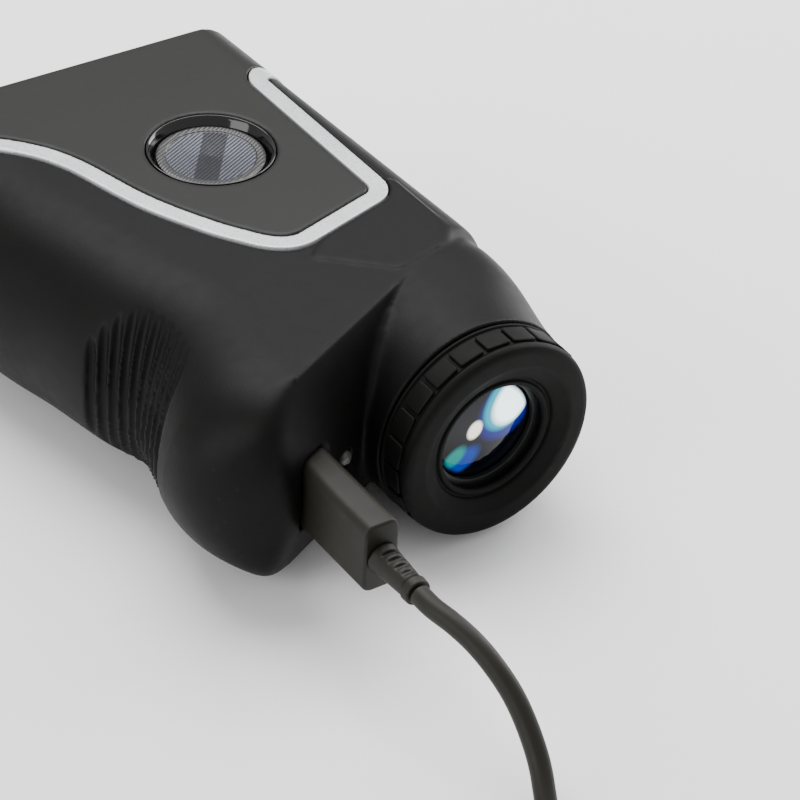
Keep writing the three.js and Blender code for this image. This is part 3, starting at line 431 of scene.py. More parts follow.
def mixed(tree, factor, first, second):
    mix = tree.nodes.new("ShaderNodeMix")
    mix.data_type = "RGBA"
    for socket, colour in ((6, first), (7, second)):
        if isinstance(colour, tuple):
            mix.inputs[socket].default_value = (*colour, 1)
        else:
            tree.links.new(colour, mix.inputs[socket])
    tree.links.new(factor, mix.inputs[0])
    return mix.outputs[2]


def bumped(tree, shader, height, depth, strength=1.0):
    bump = tree.nodes.new("ShaderNodeBump")
    bump.inputs["Distance"].default_value = depth
    bump.inputs["Strength"].default_value = strength
    tree.links.new(height, bump.inputs["Height"])
    tree.links.new(bump.outputs["Normal"], shader.inputs["Normal"])


def moulded_finish(name, tone, roughness, shine=0.25, grain=2600, depth=0.00002, worn=1.0,
                   spread=0.03):
    material, tree, shader = new_finish(name, roughness)
    shader.inputs["Specular IOR Level"].default_value = shine
    dark, light = (tuple(share * part for part in tone) for share in (0.93, 1.07))
    tone = mixed(tree, ranged(tree, noise(tree, 90), 0, 1), dark, light)
    if worn > 1:
        edge = tree.nodes.new("ShaderNodeNewGeometry")
        rub = ranged(tree, edge.outputs["Pointiness"], 0, 1, 0.53, 0.62)
        tone = mixed(tree, rub, tone, tuple(worn * part for part in light))
    tree.links.new(tone, shader.inputs["Base Color"])
    patches = ranged(tree, noise(tree, 420, 4), roughness - spread, roughness + spread)
    tree.links.new(patches, shader.inputs["Roughness"])
    bumped(tree, shader, noise(tree, grain, 2), depth)
    return material


charcoal = moulded_finish("charcoal_shell", (0.0034, 0.0034, 0.0033), 0.46, 0.1, worn=1.6)
cover_grey = moulded_finish("cover_shell", (0.0068, 0.0066, 0.0061), 0.43, 0.2, worn=1.6)
black_rubber = moulded_finish("eyepiece_rubber", (0.0032, 0.0031, 0.0028), 0.6, 0.1, grain=3600,
                              depth=0.00003, worn=2.0)
bezel_black = moulded_finish("bezel_plastic", (0.0065, 0.0065, 0.0065), 0.4, 0.3)
nylon_black = moulded_finish("filled_nylon", (0.014, 0.014, 0.016), 0.6, 0.4, grain=1400,
                             depth=0.00004)
lead_grey = moulded_finish("lead_elastomer", (0.0095, 0.0089, 0.0062), 0.5, 0.22, grain=3200,
                           depth=0.000015, worn=1.8)
gloss_black = moulded_finish("gloss_ring", (0.003, 0.003, 0.0034), 0.1, 0.5, grain=900,
                             depth=0.000003, spread=0.03)
print("moulded finishes:", 7)

# %% [markdown]
# Metal shows its making too. The trim is bright paint over a moulded strip: nearly smooth,
# with a slow waviness. Machined barrels carry fine turning rings, and nickel-plated parts
# are bright with small scratches.

# %% Painted trim, plated steel, turned barrels
def metal_finish(name, dark, light, roughness, metallic, scratch, depth, stretch=None):
    material, tree, shader = new_finish(name, roughness, metallic)
    tone = mixed(tree, ranged(tree, noise(tree, 160), 0, 1), dark, light)
    tree.links.new(tone, shader.inputs["Base Color"])
    rub = ranged(tree, noise(tree, scratch, 4, stretch), roughness - 0.06, roughness + 0.08)
    tree.links.new(rub, shader.inputs["Roughness"])
    bumped(tree, shader, noise(tree, scratch, 3, stretch), depth)
    return material


silver_trim = metal_finish("silver_paint", (0.54, 0.55, 0.57), (0.64, 0.65, 0.67), 0.3, 0.3,
                           1800, 0.000006)
plated_steel = metal_finish("plated_steel", (0.42, 0.42, 0.43), (0.55, 0.55, 0.56), 0.28, 1.0,
                            700, 0.000006, (1, 6, 1))
barrel_black = metal_finish("anodised_barrel", (0.016, 0.016, 0.017), (0.024, 0.024, 0.025),
                            0.42, 0.3, 500, 0.00003, (1, 14, 1))
board_green = metal_finish("circuit_board", (0.012, 0.075, 0.03), (0.02, 0.11, 0.045), 0.4, 0.0,
                           260, 0.00004, (1, 3, 1))
cell_blue = metal_finish("cell_wrap", (0.02, 0.06, 0.22), (0.03, 0.08, 0.27), 0.25, 0.0,
                         300, 0.00002)
light_pipe = metal_finish("light_pipe", (0.05, 0.049, 0.045), (0.075, 0.074, 0.068), 0.25, 0.0,
                          900, 0.00001)
display_dark = metal_finish("display_glass", (0.01, 0.012, 0.02), (0.014, 0.016, 0.026), 0.08,
                            0.0, 400, 0.000002)
print("metal and board finishes:", 7)

# %% [markdown]
# ## The body's form
#
# Slice the body across and every slice is the same kind of outline: two flat sides, a top
# with rounded corners, and a half-round underside that the palm wraps round. Only the
# heights change from the eyepiece to the lenses. So the form is a stack of slices: one
# function gives a slice, another stacks them, and a `grow` value moves the surface in or out
# to make skins, covers and pockets that fit each other.

# %% Heights of the top and the underside
TOP_EDGE_R = 7
TOP_START_Y, TOP_X, TOP_FRONT_X = 22, 17.2, 14.34
HEEL_START_Y, HEEL_SPAN = 14, 12.7
receiver_low, receiver_high = node_box("receiver_barrel")
receiver_x = (receiver_low[0] + receiver_high[0]) / 2
front_y = node_box("main_housing")[1][1]
COVER_STAND = 0.25
side_half = node_box("front_cover")[1][2]
skin_half = side_half - COVER_STAND
UNDERSIDE = np.array([
    (-12, 16.7), (9, 16.7), (18, 16.6), (26, 14.8), (32.5, 13.6), (38, 14.6), (44.6, 16.7),
    (55.8, 19), (67.9, 22), (84, 23.8), (front_y, 24.2),
])
underside_line = smooth_line([(y, receiver_x - drop, 0) for y, drop in UNDERSIDE], 12)


def underside_x(y):
    return float(np.interp(y, underside_line[:, 0], underside_line[:, 1]))


def top_x(y):
    return TOP_X - (y - TOP_START_Y) * (TOP_X - TOP_FRONT_X) / (front_y - TOP_START_Y)


print("body width", round(2 * side_half, 1), "mm, front at", round(front_y, 1), "mm")

# %% One slice, and a stack of slices
def slice_ring(y, grow=0.0, steps=14):
    half = skin_half + grow
    top = top_x(y) + grow
    low = underside_x(y) - grow
    edge = max(TOP_EDGE_R + grow, 1.5)
    heel = min(max((HEEL_START_Y - y) / (HEEL_SPAN + grow), 0), 0.98)
    depth = half * math.sqrt(1 - heel * heel)
    centre = low + half
    points = []
    for z, start in ((half - edge, 0), (edge - half, 90)):
        for k in range(steps + 1):
            a = math.radians(start + 90 * k / steps)
            points.append((top - edge + edge * math.sin(a), y, z + edge * math.cos(a)))
    for k in range(4 * steps + 1):
        a = math.radians(180 + 180 * k / (4 * steps))
        points.append((centre + depth * math.sin(a), y, half * math.cos(a)))
    return points


def body_stack(name, low, high, grow=0.0, spacing=1.0):
    count = max(2, round((high - low) / spacing))
    return skinned(name, [slice_ring(low + (high - low) * i / count, grow)
                          for i in range(count + 1)])


# %% [markdown]
# The rear face leans forward towards the top and is gently crowned. It is a slice of a wide
# drum, so a drum-shaped block is drawn and whatever is inside both it and the body is kept.

# %% The drum that shapes the rear face
REAR_Y, REAR_SLOPE, REAR_CROWN_R, WALL = 19.3, 0.48, 35, 3.4


def rear_drum(name, inset):
    lean = math.atan(REAR_SLOPE)
    outline = []
    for k in range(61):
        a = math.radians(-59 + 118 * k / 60)
        outline.append((inset + REAR_CROWN_R * (1 - math.cos(a)), REAR_CROWN_R * math.sin(a)))
    outline += [(180, REAR_CROWN_R * math.sin(math.radians(59))),
                (180, -REAR_CROWN_R * math.sin(math.radians(59)))]
    rings = []
    for u in (-90, 90):
        rings.append([(u * math.cos(lean) - v * math.sin(lean),
                       REAR_Y + u * math.sin(lean) + v * math.cos(lean), z) for v, z in outline])
    return skinned(name, rings)


# %% [markdown]
# The eyepiece grows out of the body through a neck. It is round behind the ring and squarer
# where it meets the body, and a super-ellipse can be both: its power runs from 2, a circle,
# to 4, a soft square.

# %% The neck
NECK_REAR_Y, NECK_R, NECK_BLEND_Y, NECK_END_Y = 7.1, 17.6, 26, 34


def neck_stack(name):
    rings = []
    count, around = 40, 160
    for i in range(count + 2):
        t = min(i / count, 1)
        ease = t * t * (3 - 2 * t)
        power = 2 + 2.2 * ease
        y = NECK_REAR_Y + (NECK_BLEND_Y - NECK_REAR_Y) * t if i <= count else NECK_END_Y
        across = NECK_R + (skin_half - 0.05 - NECK_R) * ease
        upward = NECK_R + (top_x(NECK_BLEND_Y) - 0.05 - NECK_R) * ease
        ring = []
        for k in range(around):
            a = 2 * math.pi * k / around
            c, s = math.cos(a), math.sin(a)
            p = power if c > 0 else 2
            reach = (abs(c / upward) ** p + abs(s / across) ** p) ** (-1 / p)
            reach *= 0.96 if i > count else 1
            ring.append((reach * c, y, reach * s))
        rings.append(ring)
    return skinned(name, rings)


# %% [markdown]
# The trim line is drawn once, on the side face. The cover lies in front of it, the trim on
# it, and the pocket that takes both is a little wider. Each is a region in front of the line
# shifted by its own amount.

# %% The trim line and the regions in front of it
TRIM_WIDTH, TRIM_SETBACK = 3.2, 11.2


def bezier(a, b, c, steps=10):
    return [tuple((1 - t) ** 2 * np.array(a) + 2 * t * (1 - t) * np.array(b) + t * t * np.array(c))
            for t in (k / steps for k in range(1, steps + 1))]


over_top_y = front_y - TRIM_SETBACK
climb = smooth_line([
    (-50, front_y - 4.6, 0), (-43, front_y - 7.6, 0), (-36.6, front_y - 13, 0),
    (-31.6, front_y - 21, 0), (-27, 61, 0), (-21.6, 49.6, 0), (-17.4, 43.2, 0),
], 8)
trim_line = [(-80, front_y - 3.4)] + [tuple(p[:2]) for p in climb]
trim_line += bezier((-17.4, 43.2), (-14.2, 38.7), (-10, 39.6))
trim_line += bezier((4.2, 43.5), (7.8, 44.4), (7.8, 48))
trim_line += bezier((7.8, over_top_y - 5), (7.8, over_top_y), (13, over_top_y))
trim_line += [(60, over_top_y)]
trim_line = np.array(trim_line)


def region(name, shift, low=-60, high=60):
    along = np.gradient(trim_line, axis=0)
    along /= np.linalg.norm(along, axis=1)[:, None]
    moved = trim_line + shift * np.column_stack([along[:, 1], -along[:, 0]])
    outline = list(map(tuple, moved)) + [(60, 190), (-80, 190)]
    return skinned(name, [[(x, y, z) for x, y in outline] for z in (low, high)])


print("trim line points:", len(trim_line))

# %% [markdown]
# ## The main shell
#
# Cut by cut, as the mould would form it: the stack and the neck, the leaning rear face, the
# hollow for the works, the pocket for the cover, then the holes. The finger grooves are thin
# arcs pressed into the waist, each bending forward as it climbs the side.

# %% Grooves for the finger and the thumb
def swept_tool(name, points, radius, sides=10):
    points = np.array(points)
    rings = []
    for i, centre in enumerate(points):
        ahead = points[min(i + 1, len(points) - 1)] - points[max(i - 1, 0)]
        ahead /= np.linalg.norm(ahead)
        side = np.cross(ahead, (0, 1, 0))
        side /= np.linalg.norm(side)
        lift = np.cross(side, ahead)
        rings.append([centre + radius * (math.cos(a) * side + math.sin(a) * lift)
                      for a in np.linspace(0, 2 * math.pi, sides, endpoint=False)])
    return skinned(name, rings)


GROOVE_COUNT, GROOVE_R, GROOVE_PITCH, GROOVE_REAR_Y = 10, 0.97, 2.23, 21.5


def groove_tools():
    tools = []
    for i in range(GROOVE_COUNT):
        reach = 14.9 - 5.7 * max(0, (i - 5) / 4) ** 2
        points = []
        for k in range(-16, 17):
            a = math.asin(reach / skin_half) * k / 16
            z = skin_half * math.sin(a)
            y = GROOVE_REAR_Y + GROOVE_PITCH * i + 0.026 * z * z
            radius = skin_half - 0.15 + 1.15 * (k / 16) ** 6
            centre = underside_x(y) + skin_half
            points.append((centre - radius * math.cos(a), y, radius * math.sin(a)))
        tools.append(swept_tool(f"groove_{i}", points, GROOVE_R))
    return tools


# %% Places of the port, the light and the buttons
plug_width, plug_height = plug_high[2] - plug_low[2], plug_high[0] - plug_low[0]
PORT_FLOOR_Y = plug_high[1] + 0.3
MODE_STEM_OFFSET = 4.55
NECK_BORE_R = 15.5
mode_low, mode_high = node_box("mode_ring")
mode_x, mode_y = (mode_low[:2] + mode_high[:2]) / 2
mode_ring_r = (mode_high[0] - mode_low[0]) / 2
fire_low, fire_high = node_box("fire_button")
fire_y = (fire_low[1] + fire_high[1]) / 2
FIRE_LENGTH, FIRE_WIDTH, FIT = 27, 23, 0.3
led_low, led_high = node_box("charge_led")
led_x = (led_low[0] + led_high[0]) / 2
led_r = (led_high[0] - led_low[0]) / 2
TOP_LEAN = math.atan((TOP_X - TOP_FRONT_X) / (front_y - TOP_START_Y))


def on_top(u, v, level):
    """u along the body, v across it, level out of the sloping top."""
    c, s = math.cos(TOP_LEAN), math.sin(TOP_LEAN)
    return (top_x(fire_y) + level * c - u * s, fire_y + u * c + level * s, v)


def across_y(u, v, level):
    return (u, level, v)


def flat_z(u, v, level):
    return (u, v, level)


def plug_like(grow):
    return outline_rect(plug_height + 2 * grow, plug_width + 2 * grow, 1.5 + grow, 8)


def shifted_outline(points, x, y):
    return np.asarray(points) + np.array([x, y])


print("mode button at", round(mode_x, 1), round(mode_y, 1), "fire button at", round(fire_y, 1))

# %% Cut the main shell
def block(name, outline, low, high, place):
    return skinned(name, [[place(u, v, level) for u, v in outline] for level in (low, high)])


def circle(radius, x=0.0, y=0.0, sides=64):
    return [(x + radius * math.cos(a), y + radius * math.sin(a))
            for a in np.linspace(0, 2 * math.pi, sides, endpoint=False)]


shell = body_stack("housing_shell", -12, front_y)
shell = combine(shell, rear_drum("drum", 0), "INTERSECT")
badge = rounded([(-12.4, 34.6), (-2.2, 25.4), (9.4, 28.1), (11, 31), (11, 47), (4, 47)], 1.2)
for z in (skin_half - 1, -skin_half - 0.25):
    shell = combine(shell, block("pad", badge, z, z + 1.25, flat_z), "UNION")
shell = combine(shell, neck_stack("neck"), "UNION")
hollow = combine(body_stack("hollow", -6, front_y + 5, -WALL, 2),
                 rear_drum("drum", WALL), "INTERSECT")
shell = combine(shell, hollow, "DIFFERENCE")
POCKET_DEPTH = 1.55
pocket = combine(region("pocket", TRIM_WIDTH / 2 + 0.25),
                 body_stack("floor", 16, front_y + 3, -POCKET_DEPTH), "DIFFERENCE")
shell = combine(shell, pocket, "DIFFERENCE")
mode_floor = mode_low[2] - FIT
fire_hole = outline_rect(FIRE_LENGTH + 2 * FIT, FIRE_WIDTH + 2 * FIT, FIRE_WIDTH / 2 + FIT)
cutters = [
    block("neck_bore", circle(NECK_BORE_R), 0, NECK_BLEND_Y + 6, across_y),
    block("port", shifted_outline(plug_like(0.45), port_x, 0), -60, PORT_FLOOR_Y, across_y),
    block("socket_slot", shifted_outline(outline_rect(5.3, 11.2, 2.2), port_x, 0),
          -60, PORT_FLOOR_Y + 4, across_y),
    block("light_hole", circle(led_r + 0.2, led_x), -60, 18, across_y),
    block("mode_pit", circle(mode_ring_r + 0.15, mode_x, mode_y), mode_floor, 60, flat_z),
    block("mode_stem_hole", circle(2.9, mode_x - MODE_STEM_OFFSET, mode_y), 0, 60, flat_z),
    block("fire_slot", fire_hole, -6, 10, on_top),
]
for cutter in cutters + groove_tools():
    shell = combine(shell, cutter, "DIFFERENCE")
print("shell after cutting:", len(shell.data.polygons), "faces")

# %% [markdown]
# A mould leaves no knife edges. The shell is rebuilt from even cells of a third of a
# millimetre and smoothed a few times. The heel, where the rear face runs into the round
# underside, is smoothed much longer so that its crease fades out, and the root of the neck
# gets a share of that. The port and the light's hole are kept crisp by leaving them out.

# %% Mould the shell and melt the heel
shell = moulded(shell, 0.34, 3)


def melt_weights(piece):
    spots = np.empty(len(piece.data.vertices) * 3)
    piece.data.vertices.foreach_get("co", spots)
    x, y, z = ((spots.reshape(-1, 3) - EYE_POINT) / MM).T
    port = np.hypot(np.maximum(abs(x - port_x) - 3.2, 0), np.maximum(abs(z) - 6.3, 0))
    heel = np.clip((-31 - x) / 11, 0, 1) * np.clip((18 - y) / 9, 0, 1)
    heel *= np.clip((port - 0.8) / 2.5, 0, 1)
    out = np.hypot(x, z)
    neck = np.clip((out - 16.9) / 0.8, 0, 1) * np.clip((20.5 - out) / 2.5, 0, 1)
    neck *= np.clip((y - 9.5) / 2.5, 0, 1) * np.clip((20 - y) / 5, 0, 1)
    neck *= np.clip((np.hypot(x - led_x, z) - 2.4) / 1.5, 0, 1)
    brow = np.clip((x - 6) / 4, 0, 1) * np.clip((y - 21) / 3, 0, 1) * np.clip((36 - y) / 4, 0, 1)
    weights = np.maximum(np.maximum(heel, 0.25 * neck), 0.1 * brow)
    group = piece.vertex_groups.new(name="melt")
    for i in np.flatnonzero(weights > 0.02):
        group.add([int(i)], float(weights[i]), "REPLACE")
    return group


melting = melt_weights(shell)
melt = shell.modifiers.new("melt", "SMOOTH")
melt.vertex_group = melting.name
melt.factor = 0.9
melt.iterations = 380
bake_modifiers(shell)
shell.vertex_groups.clear()
finish_piece(shell, "body", charcoal, ["main_housing"])
print("main shell:", len(shell.data.polygons), "faces")

# %% [markdown]
# ## Cover and trim
#
# The front cover is a thin second shell that slips over the body from the front, and the
# trim is a strip pressed into the seam. Both come from the same stack of slices, so they
# follow the body exactly and stand just proud of it.

# %% The front cover
COVER_THICKNESS = 1.5
cover_front_y = node_box("front_cover")[1][1]


def cover_layer(name):
    layer = body_stack(name, 20, cover_front_y, COVER_STAND, 1.5)
    inner = body_stack("inner", 18, cover_front_y + 3, COVER_STAND - COVER_THICKNESS, 1.5)
    return combine(layer, inner, "DIFFERENCE")


cover = combine(cover_layer("cover_shell"), region("front", -TRIM_WIDTH / 2 - 0.12), "INTERSECT")
cover = combine(cover, block("hole", circle(mode_ring_r + 0.15, mode_x, mode_y), 0, 60, flat_z),
                "DIFFERENCE")
cover = moulded(cover, 0.33, 4)
finish_piece(cover, "body", cover_grey, ["front_cover"])
print("cover:", len(cover.data.polygons), "faces")

# %% The silver trim, one strip a side
for side, name, node in ((1, "trim_left_side", "left_trim"), (-1, "trim_right_side", "right_trim")):
    strip = combine(cover_layer(name), region("band", TRIM_WIDTH / 2), "INTERSECT")
    strip = combine(strip, region("band_front", -TRIM_WIDTH / 2 + 0.12), "DIFFERENCE")
    half = block("half", [(-100, -100), (100, -100), (100, 200), (-100, 200)],
                 0.15 if side > 0 else -60, 60 if side > 0 else -0.15, flat_z)
    strip = moulded(combine(strip, half, "INTERSECT"), 0.2, 4)
    finish_piece(strip, "body", silver_trim, [node])
    print(name, len(strip.data.polygons), "faces")

# %% [markdown]
# ## The lead, its plugs and its strap
#
# The cable is a curve with a round section. The plug's grip is a pressed block with soft
# edges, and the strain relief is a short tapered sleeve with slots across it, as the real one
# has so that it can bend. A hook strap keeps the coil together.

# %% The cable itself
def cable_curve(name, line, radius):
    curve = bpy.data.curves.new(name, "CURVE")
    curve.dimensions = "3D"
    curve.bevel_depth = radius * MM
    curve.bevel_resolution = 5
    curve.use_fill_caps = True
    spline = curve.splines.new("POLY")
    spline.points.add(len(line) - 1)
    for point, spot in zip(spline.points, to_world(line)):
        point.co = (*spot, 1)
    piece = bpy.data.objects.new(name, curve)
    bpy.context.scene.collection.objects.link(piece)
    return piece


lead = cable_curve("charging_lead", fine_line, CORD_R)
finish_piece(lead, "body", lead_grey, ["usb_cable", "cable_coil", "cable_tail"])

# %% The port plug and its strain relief
def plug_outline(inset):
    return shifted_outline(outline_rect(plug_height - 2 * inset, plug_width - 2 * inset,
                                        1.7 - inset * 0.6, 8), port_x, 0)


plug = pressed("port_plug", plug_outline, plug_low[1], plug_high[1], 0.55, across_y)
finish_piece(plug, "body", lead_grey, ["usb_plug"])

relief_rear, relief_front = relief_low[1], relief_high[1]
relief = turned("plug_strain_relief", [
    (0.001, relief_rear), (2.1, relief_rear), (2.2, relief_rear + 1.5), (1.95, relief_rear + 1.9),
    (2.35, relief_front - 1.2), (2.6, relief_front + 0.1), (0.001, relief_front + 0.1),
], (port_x, 0), 64, 0.2)
for i in range(4):
    y = relief_front - 1.7 - 1.55 * i
    for side in (-1, 1):
        slot = outline_rect(2.6, 0.75, 0.3, 4)
        tool = block("slot", shifted_outline(slot, port_x, y),
                     *sorted((side * 1.75, side * 4)), flat_z)
        relief = combine(relief, tool, "DIFFERENCE")
relief = moulded(relief, 0.14, 2)
finish_piece(relief, "body", lead_grey, ["strain_relief"])
print("plug and strain relief:", len(plug.data.polygons), len(relief.data.polygons), "faces")

# %% The plug's metal tongue in the port
pin_low, pin_high = node_box("usb_plug_shell")


def pin_outline(inset):
    height, width = pin_high[0] - pin_low[0], pin_high[2] - pin_low[2]
    return shifted_outline(outline_rect(height - 2 * inset, width - 2 * inset,
                                        height / 2 - inset - 0.02, 8), port_x, 0)


pin = pressed("port_plug_tongue", pin_outline, pin_low[1], pin_high[1], 0.2, across_y)
mouth = outline_rect(pin_high[0] - pin_low[0] - 0.6, pin_high[2] - pin_low[2] - 0.6, 0.85, 8)
pin = combine(pin, block("mouth", shifted_outline(mouth, port_x, 0), pin_low[1] + 0.5,
                         pin_high[1] + 2, across_y), "DIFFERENCE")
soften(pin)
finish_piece(pin, "body", plated_steel, ["usb_plug_shell"])

# %% The far plug and its sleeve
across = np.array([math.cos(FAR_TURN), math.sin(FAR_TURN), 0])
FAR_WIDTH, FAR_HEIGHT = 15.5, 8


def far_place(u, v, level):
    return far_centre + across * u + np.array([0, 0, v]) + far_along * level


def far_outline(inset):
    return outline_rect(FAR_WIDTH - 2 * inset, FAR_HEIGHT - 2 * inset, 2.4 - inset * 0.6, 8)


far_plug = pressed("far_plug_grip", far_outline, -FAR_LENGTH / 2, FAR_LENGTH / 2, 0.8, far_place)
finish_piece(far_plug, "body", lead_grey, ["far_plug"])
SLEEVE = (12, 4.5, 12.5)
sleeve_low = FAR_LENGTH / 2 + 0.3
sleeve = pressed("far_plug_sleeve",
                 lambda inset: outline_rect(SLEEVE[0] - 2 * inset, SLEEVE[1] - 2 * inset, 0.45),
                 sleeve_low - 0.3, sleeve_low + SLEEVE[2], 0.15, far_place)
openings = [block("hollow", outline_rect(11.3, 3.8, 0.2), sleeve_low + 3, sleeve_low + 20, far_place)]
for u in (-2.9, 2.9):
    window = [(x + u, y) for x, y in outline_rect(2.1, 2.4, 0.2)]
    openings.append(block("window", window, -10, 10, lambda a, b, level: far_place(
        a, level, b + sleeve_low + 7.3)))
for tool in openings:
    sleeve = combine(sleeve, tool, "DIFFERENCE")
tongue = block("tongue", shifted_outline(outline_rect(11.2, 1.7, 0.2), 0, 1.0), sleeve_low + 2,
               sleeve_low + 12, far_place)
soften(sleeve)
finish_piece(sleeve, "body", plated_steel, ["far_plug_shell"])
finish_piece(soften(tongue), "body", bezel_black)
print("far plug at", far_centre.round(1))

# %% The strap round the coil
TIE_ANGLE = math.radians(130)
STRAP_WIDTH, STRAP_THICK = 9, 0.7


def strap_path(grow):
    inner, outer = coil_inner - CORD_R - 0.25 - grow, coil_outer + CORD_R + 0.25 + grow
    low, high = coil_low[2] - 0.25 - grow, coil_high[2] + 0.25 + grow
    outline = outline_rect(outer - inner, high - low, 1.4 + grow, 8)
    return shifted_outline(outline, (inner + outer) / 2, (low + high) / 2)


def strap_place(u, v, level):
    return (coil_x + u * math.cos(TIE_ANGLE) - level * math.sin(TIE_ANGLE),
            coil_y + u * math.sin(TIE_ANGLE) + level * math.cos(TIE_ANGLE), v)


strap = pressed("coil_strap", lambda inset: strap_path(STRAP_THICK - inset), -STRAP_WIDTH / 2,
                STRAP_WIDTH / 2, 0.25, strap_place)
inside = block("inside", strap_path(0), -20, 20, strap_place)
strap = soften(combine(strap, inside, "DIFFERENCE"))
finish_piece(strap, "body", black_rubber, ["cable_tie"])
tuple(to_world(bow[0]))
print("strap fitted")

# %% [markdown]
# ## The eyepiece
#
# What turns under the thumb is the diopter ring with the eyecup on it. The ring has raised
# rectangular pads for grip; the cup is soft rubber with a shallow dish, a groove, and a thin
# lip round the lens. Both are turned pieces, and the pads are pressed blocks set round the
# ring.

# %% Eyecup and knurled ring
cup_r = float(eyecup_high[0] - eyecup_low[0]) / 2 / MM
eyecup = turned("eyecup_rubber", [
    (9.3, 2.3), (9.3, 1.6), (10.1, 1.3), (10.4, 1.75), (10.75, 1.75), (10.95, 1.25), (11.8, 0.85),
    (12.9, 0.35), (13.3, 0.12), (13.7, 0.0), (cup_r - 1.2, 0.0), (cup_r - 0.35, 0.3), (cup_r, 1.0),
    (cup_r, 1.5), (12.3, 1.5), (12.3, 2.3),
], segments=160, radius=0.35)
finish_piece(eyecup, "diopter", black_rubber, ["eyecup"])

ring_low, ring_high = node_box("diopter_ring")
ring_r = (ring_high[0] - ring_low[0]) / 2
PADS = 22
grip = turned("diopter_grip", [
    (12.6, ring_low[1]), (ring_r - 0.55, ring_low[1]), (ring_r - 0.55, ring_high[1] - 0.7),
    (ring_r - 0.1, ring_high[1] - 0.45), (ring_r - 0.15, ring_high[1]), (12.6, ring_high[1]),
], segments=176, radius=0.2)
pad_half = math.pi * ring_r / PADS - 0.32
pad_length = ring_high[1] - ring_low[1] - 1.3
pad_middle = (ring_low[1] + ring_high[1] - 0.9) / 2


def pad_outline(inset):
    outline = outline_rect(2 * (pad_half - inset), pad_length - 2 * inset, 0.45 - inset * 0.5, 4)
    return shifted_outline(outline, 0, pad_middle)


def pad_place(turn):
    def place(u, v, level):
        angle = turn + u / ring_r
        return (level * math.cos(angle), v, level * math.sin(angle))
    return place


for i in range(PADS):
    turn = 2 * math.pi * (i + 0.5) / PADS
    pad = pressed("pad", pad_outline, ring_r - 1.2, ring_r, 0.22, pad_place(turn), 3)
    grip = combine(grip, pad, "UNION")
soften(grip, 40)
finish_piece(grip, "diopter", black_rubber, ["diopter_ring"])
print("grip pads:", PADS, "ring radius", round(ring_r, 2))

# %% [markdown]
# ## The optics
#
# Good lenses are bloomed: thin coatings swallow most reflections and tint the rest, so the
# eye sees a dark pupil with bright cyan and blue reflections of the window in it. The eye lens is
# a clear dome over a black, ribbed tube. Those reflections are painted: soft oval patches drawn
# in the material that shine by themselves, two of them white painted highlights, so they stay
# on the glass from every side.

# %% The coated glass, and the painted reflections on the eye lens
def lens_finish(name, tint, deep):
    material, tree, shader = new_finish(name, 0.04)
    shader.inputs["Base Color"].default_value = (*deep, 1)
    shader.inputs["Coat Weight"].default_value = 1.0
    shader.inputs["Coat Roughness"].default_value = 0.03
    shader.inputs["Coat Tint"].default_value = (*tint, 1)
    shader.inputs["Coat IOR"].default_value = 1.9
    ripple = ranged(tree, noise(tree, 60, 1), 0.03, 0.06)
    tree.links.new(ripple, shader.inputs["Roughness"])
    return material, tree, shader


def patch(tree, x, z, long, short, lean, softness):
    """1 inside an oval patch of the eye lens, 0 outside, used to place the painted reflections; lean
    turns its long side.
    """
    place = tree.nodes.new("ShaderNodeTexCoord")
    local = tree.nodes.new("ShaderNodeMapping")
    local.vector_type = "TEXTURE"
    local.inputs["Location"].default_value = tuple(to_world((x, 0, z)))
    local.inputs["Rotation"].default_value = (0, math.radians(-lean), 0)
    local.inputs["Scale"].default_value = (long * MM, 1000, short * MM)
    reach = tree.nodes.new("ShaderNodeVectorMath")
    reach.operation = "LENGTH"
    tree.links.new(place.outputs["Object"], local.inputs["Vector"])
    tree.links.new(local.outputs["Vector"], reach.inputs[0])
    return ranged(tree, reach.outputs["Value"], 1, 0, 1 - softness, 1 + softness)


def product(tree, first, second):
    both = tree.nodes.new("ShaderNodeMath")
    both.operation = "MULTIPLY"
    tree.links.new(first, both.inputs[0])
    tree.links.new(second, both.inputs[1])
    return both.outputs[0]


eye_glass, eye_tree, eye_shader = lens_finish("eye_lens_painted_reflections", (0.75, 0.9, 1.0),
                                              (0.002, 0.003, 0.006))
eye_shader.inputs["Coat Weight"].default_value = 0.15
eye_shader.inputs["Specular IOR Level"].default_value = 0.2
# Painted reflections: soft cyan and blue patches, and two white painted highlights, stand in for the
# window reflected in the eye lens.
painted_reflection = (0.0, 0.0, 0.0)
pupil = patch(eye_tree, 0, 0, 7.9, 7.9, 0, 0.05)
for x, z, long, short, lean, softness, colour in (
        (4.0, 3.2, 6.0, 4.6, 20, 0.14, (0.0, 0.01, 0.35)),
        (4.0, 4.2, 5.2, 3.9, 25, 0.1, (0.0, 0.7, 0.95)),
        (4.9, 4.0, 4.3, 3.2, 20, 0.16, (3.2, 3.6, 3.6)),
        (-4.6, -4.4, 3.6, 2.0, 45, 0.25, (0.0, 0.06, 0.5)),
        (-5.6, -3.2, 2.4, 1.2, 60, 0.3, (0.0, 0.4, 0.34)),
        (-2.6, 1.6, 1.6, 1.1, 60, 0.2, (2.4, 2.2, 1.9))):
    amount = product(eye_tree, patch(eye_tree, x, z, long, short, lean, softness), pupil)
    painted_reflection = mixed(eye_tree, amount, painted_reflection, colour)
# The painted reflections feed the emission, so the eye lens shines by itself.
eye_tree.links.new(painted_reflection, eye_shader.inputs["Emission Color"])
eye_shader.inputs["Emission Strength"].default_value = 0.9

front_glass, _, _ = lens_finish("front_lens_coating", (0.55, 0.45, 1.0), (0.012, 0.008, 0.03))
inner_glass, _, _ = lens_finish("inner_glass", (0.8, 0.95, 0.9), (0.02, 0.03, 0.03))
print("coatings:", 3)

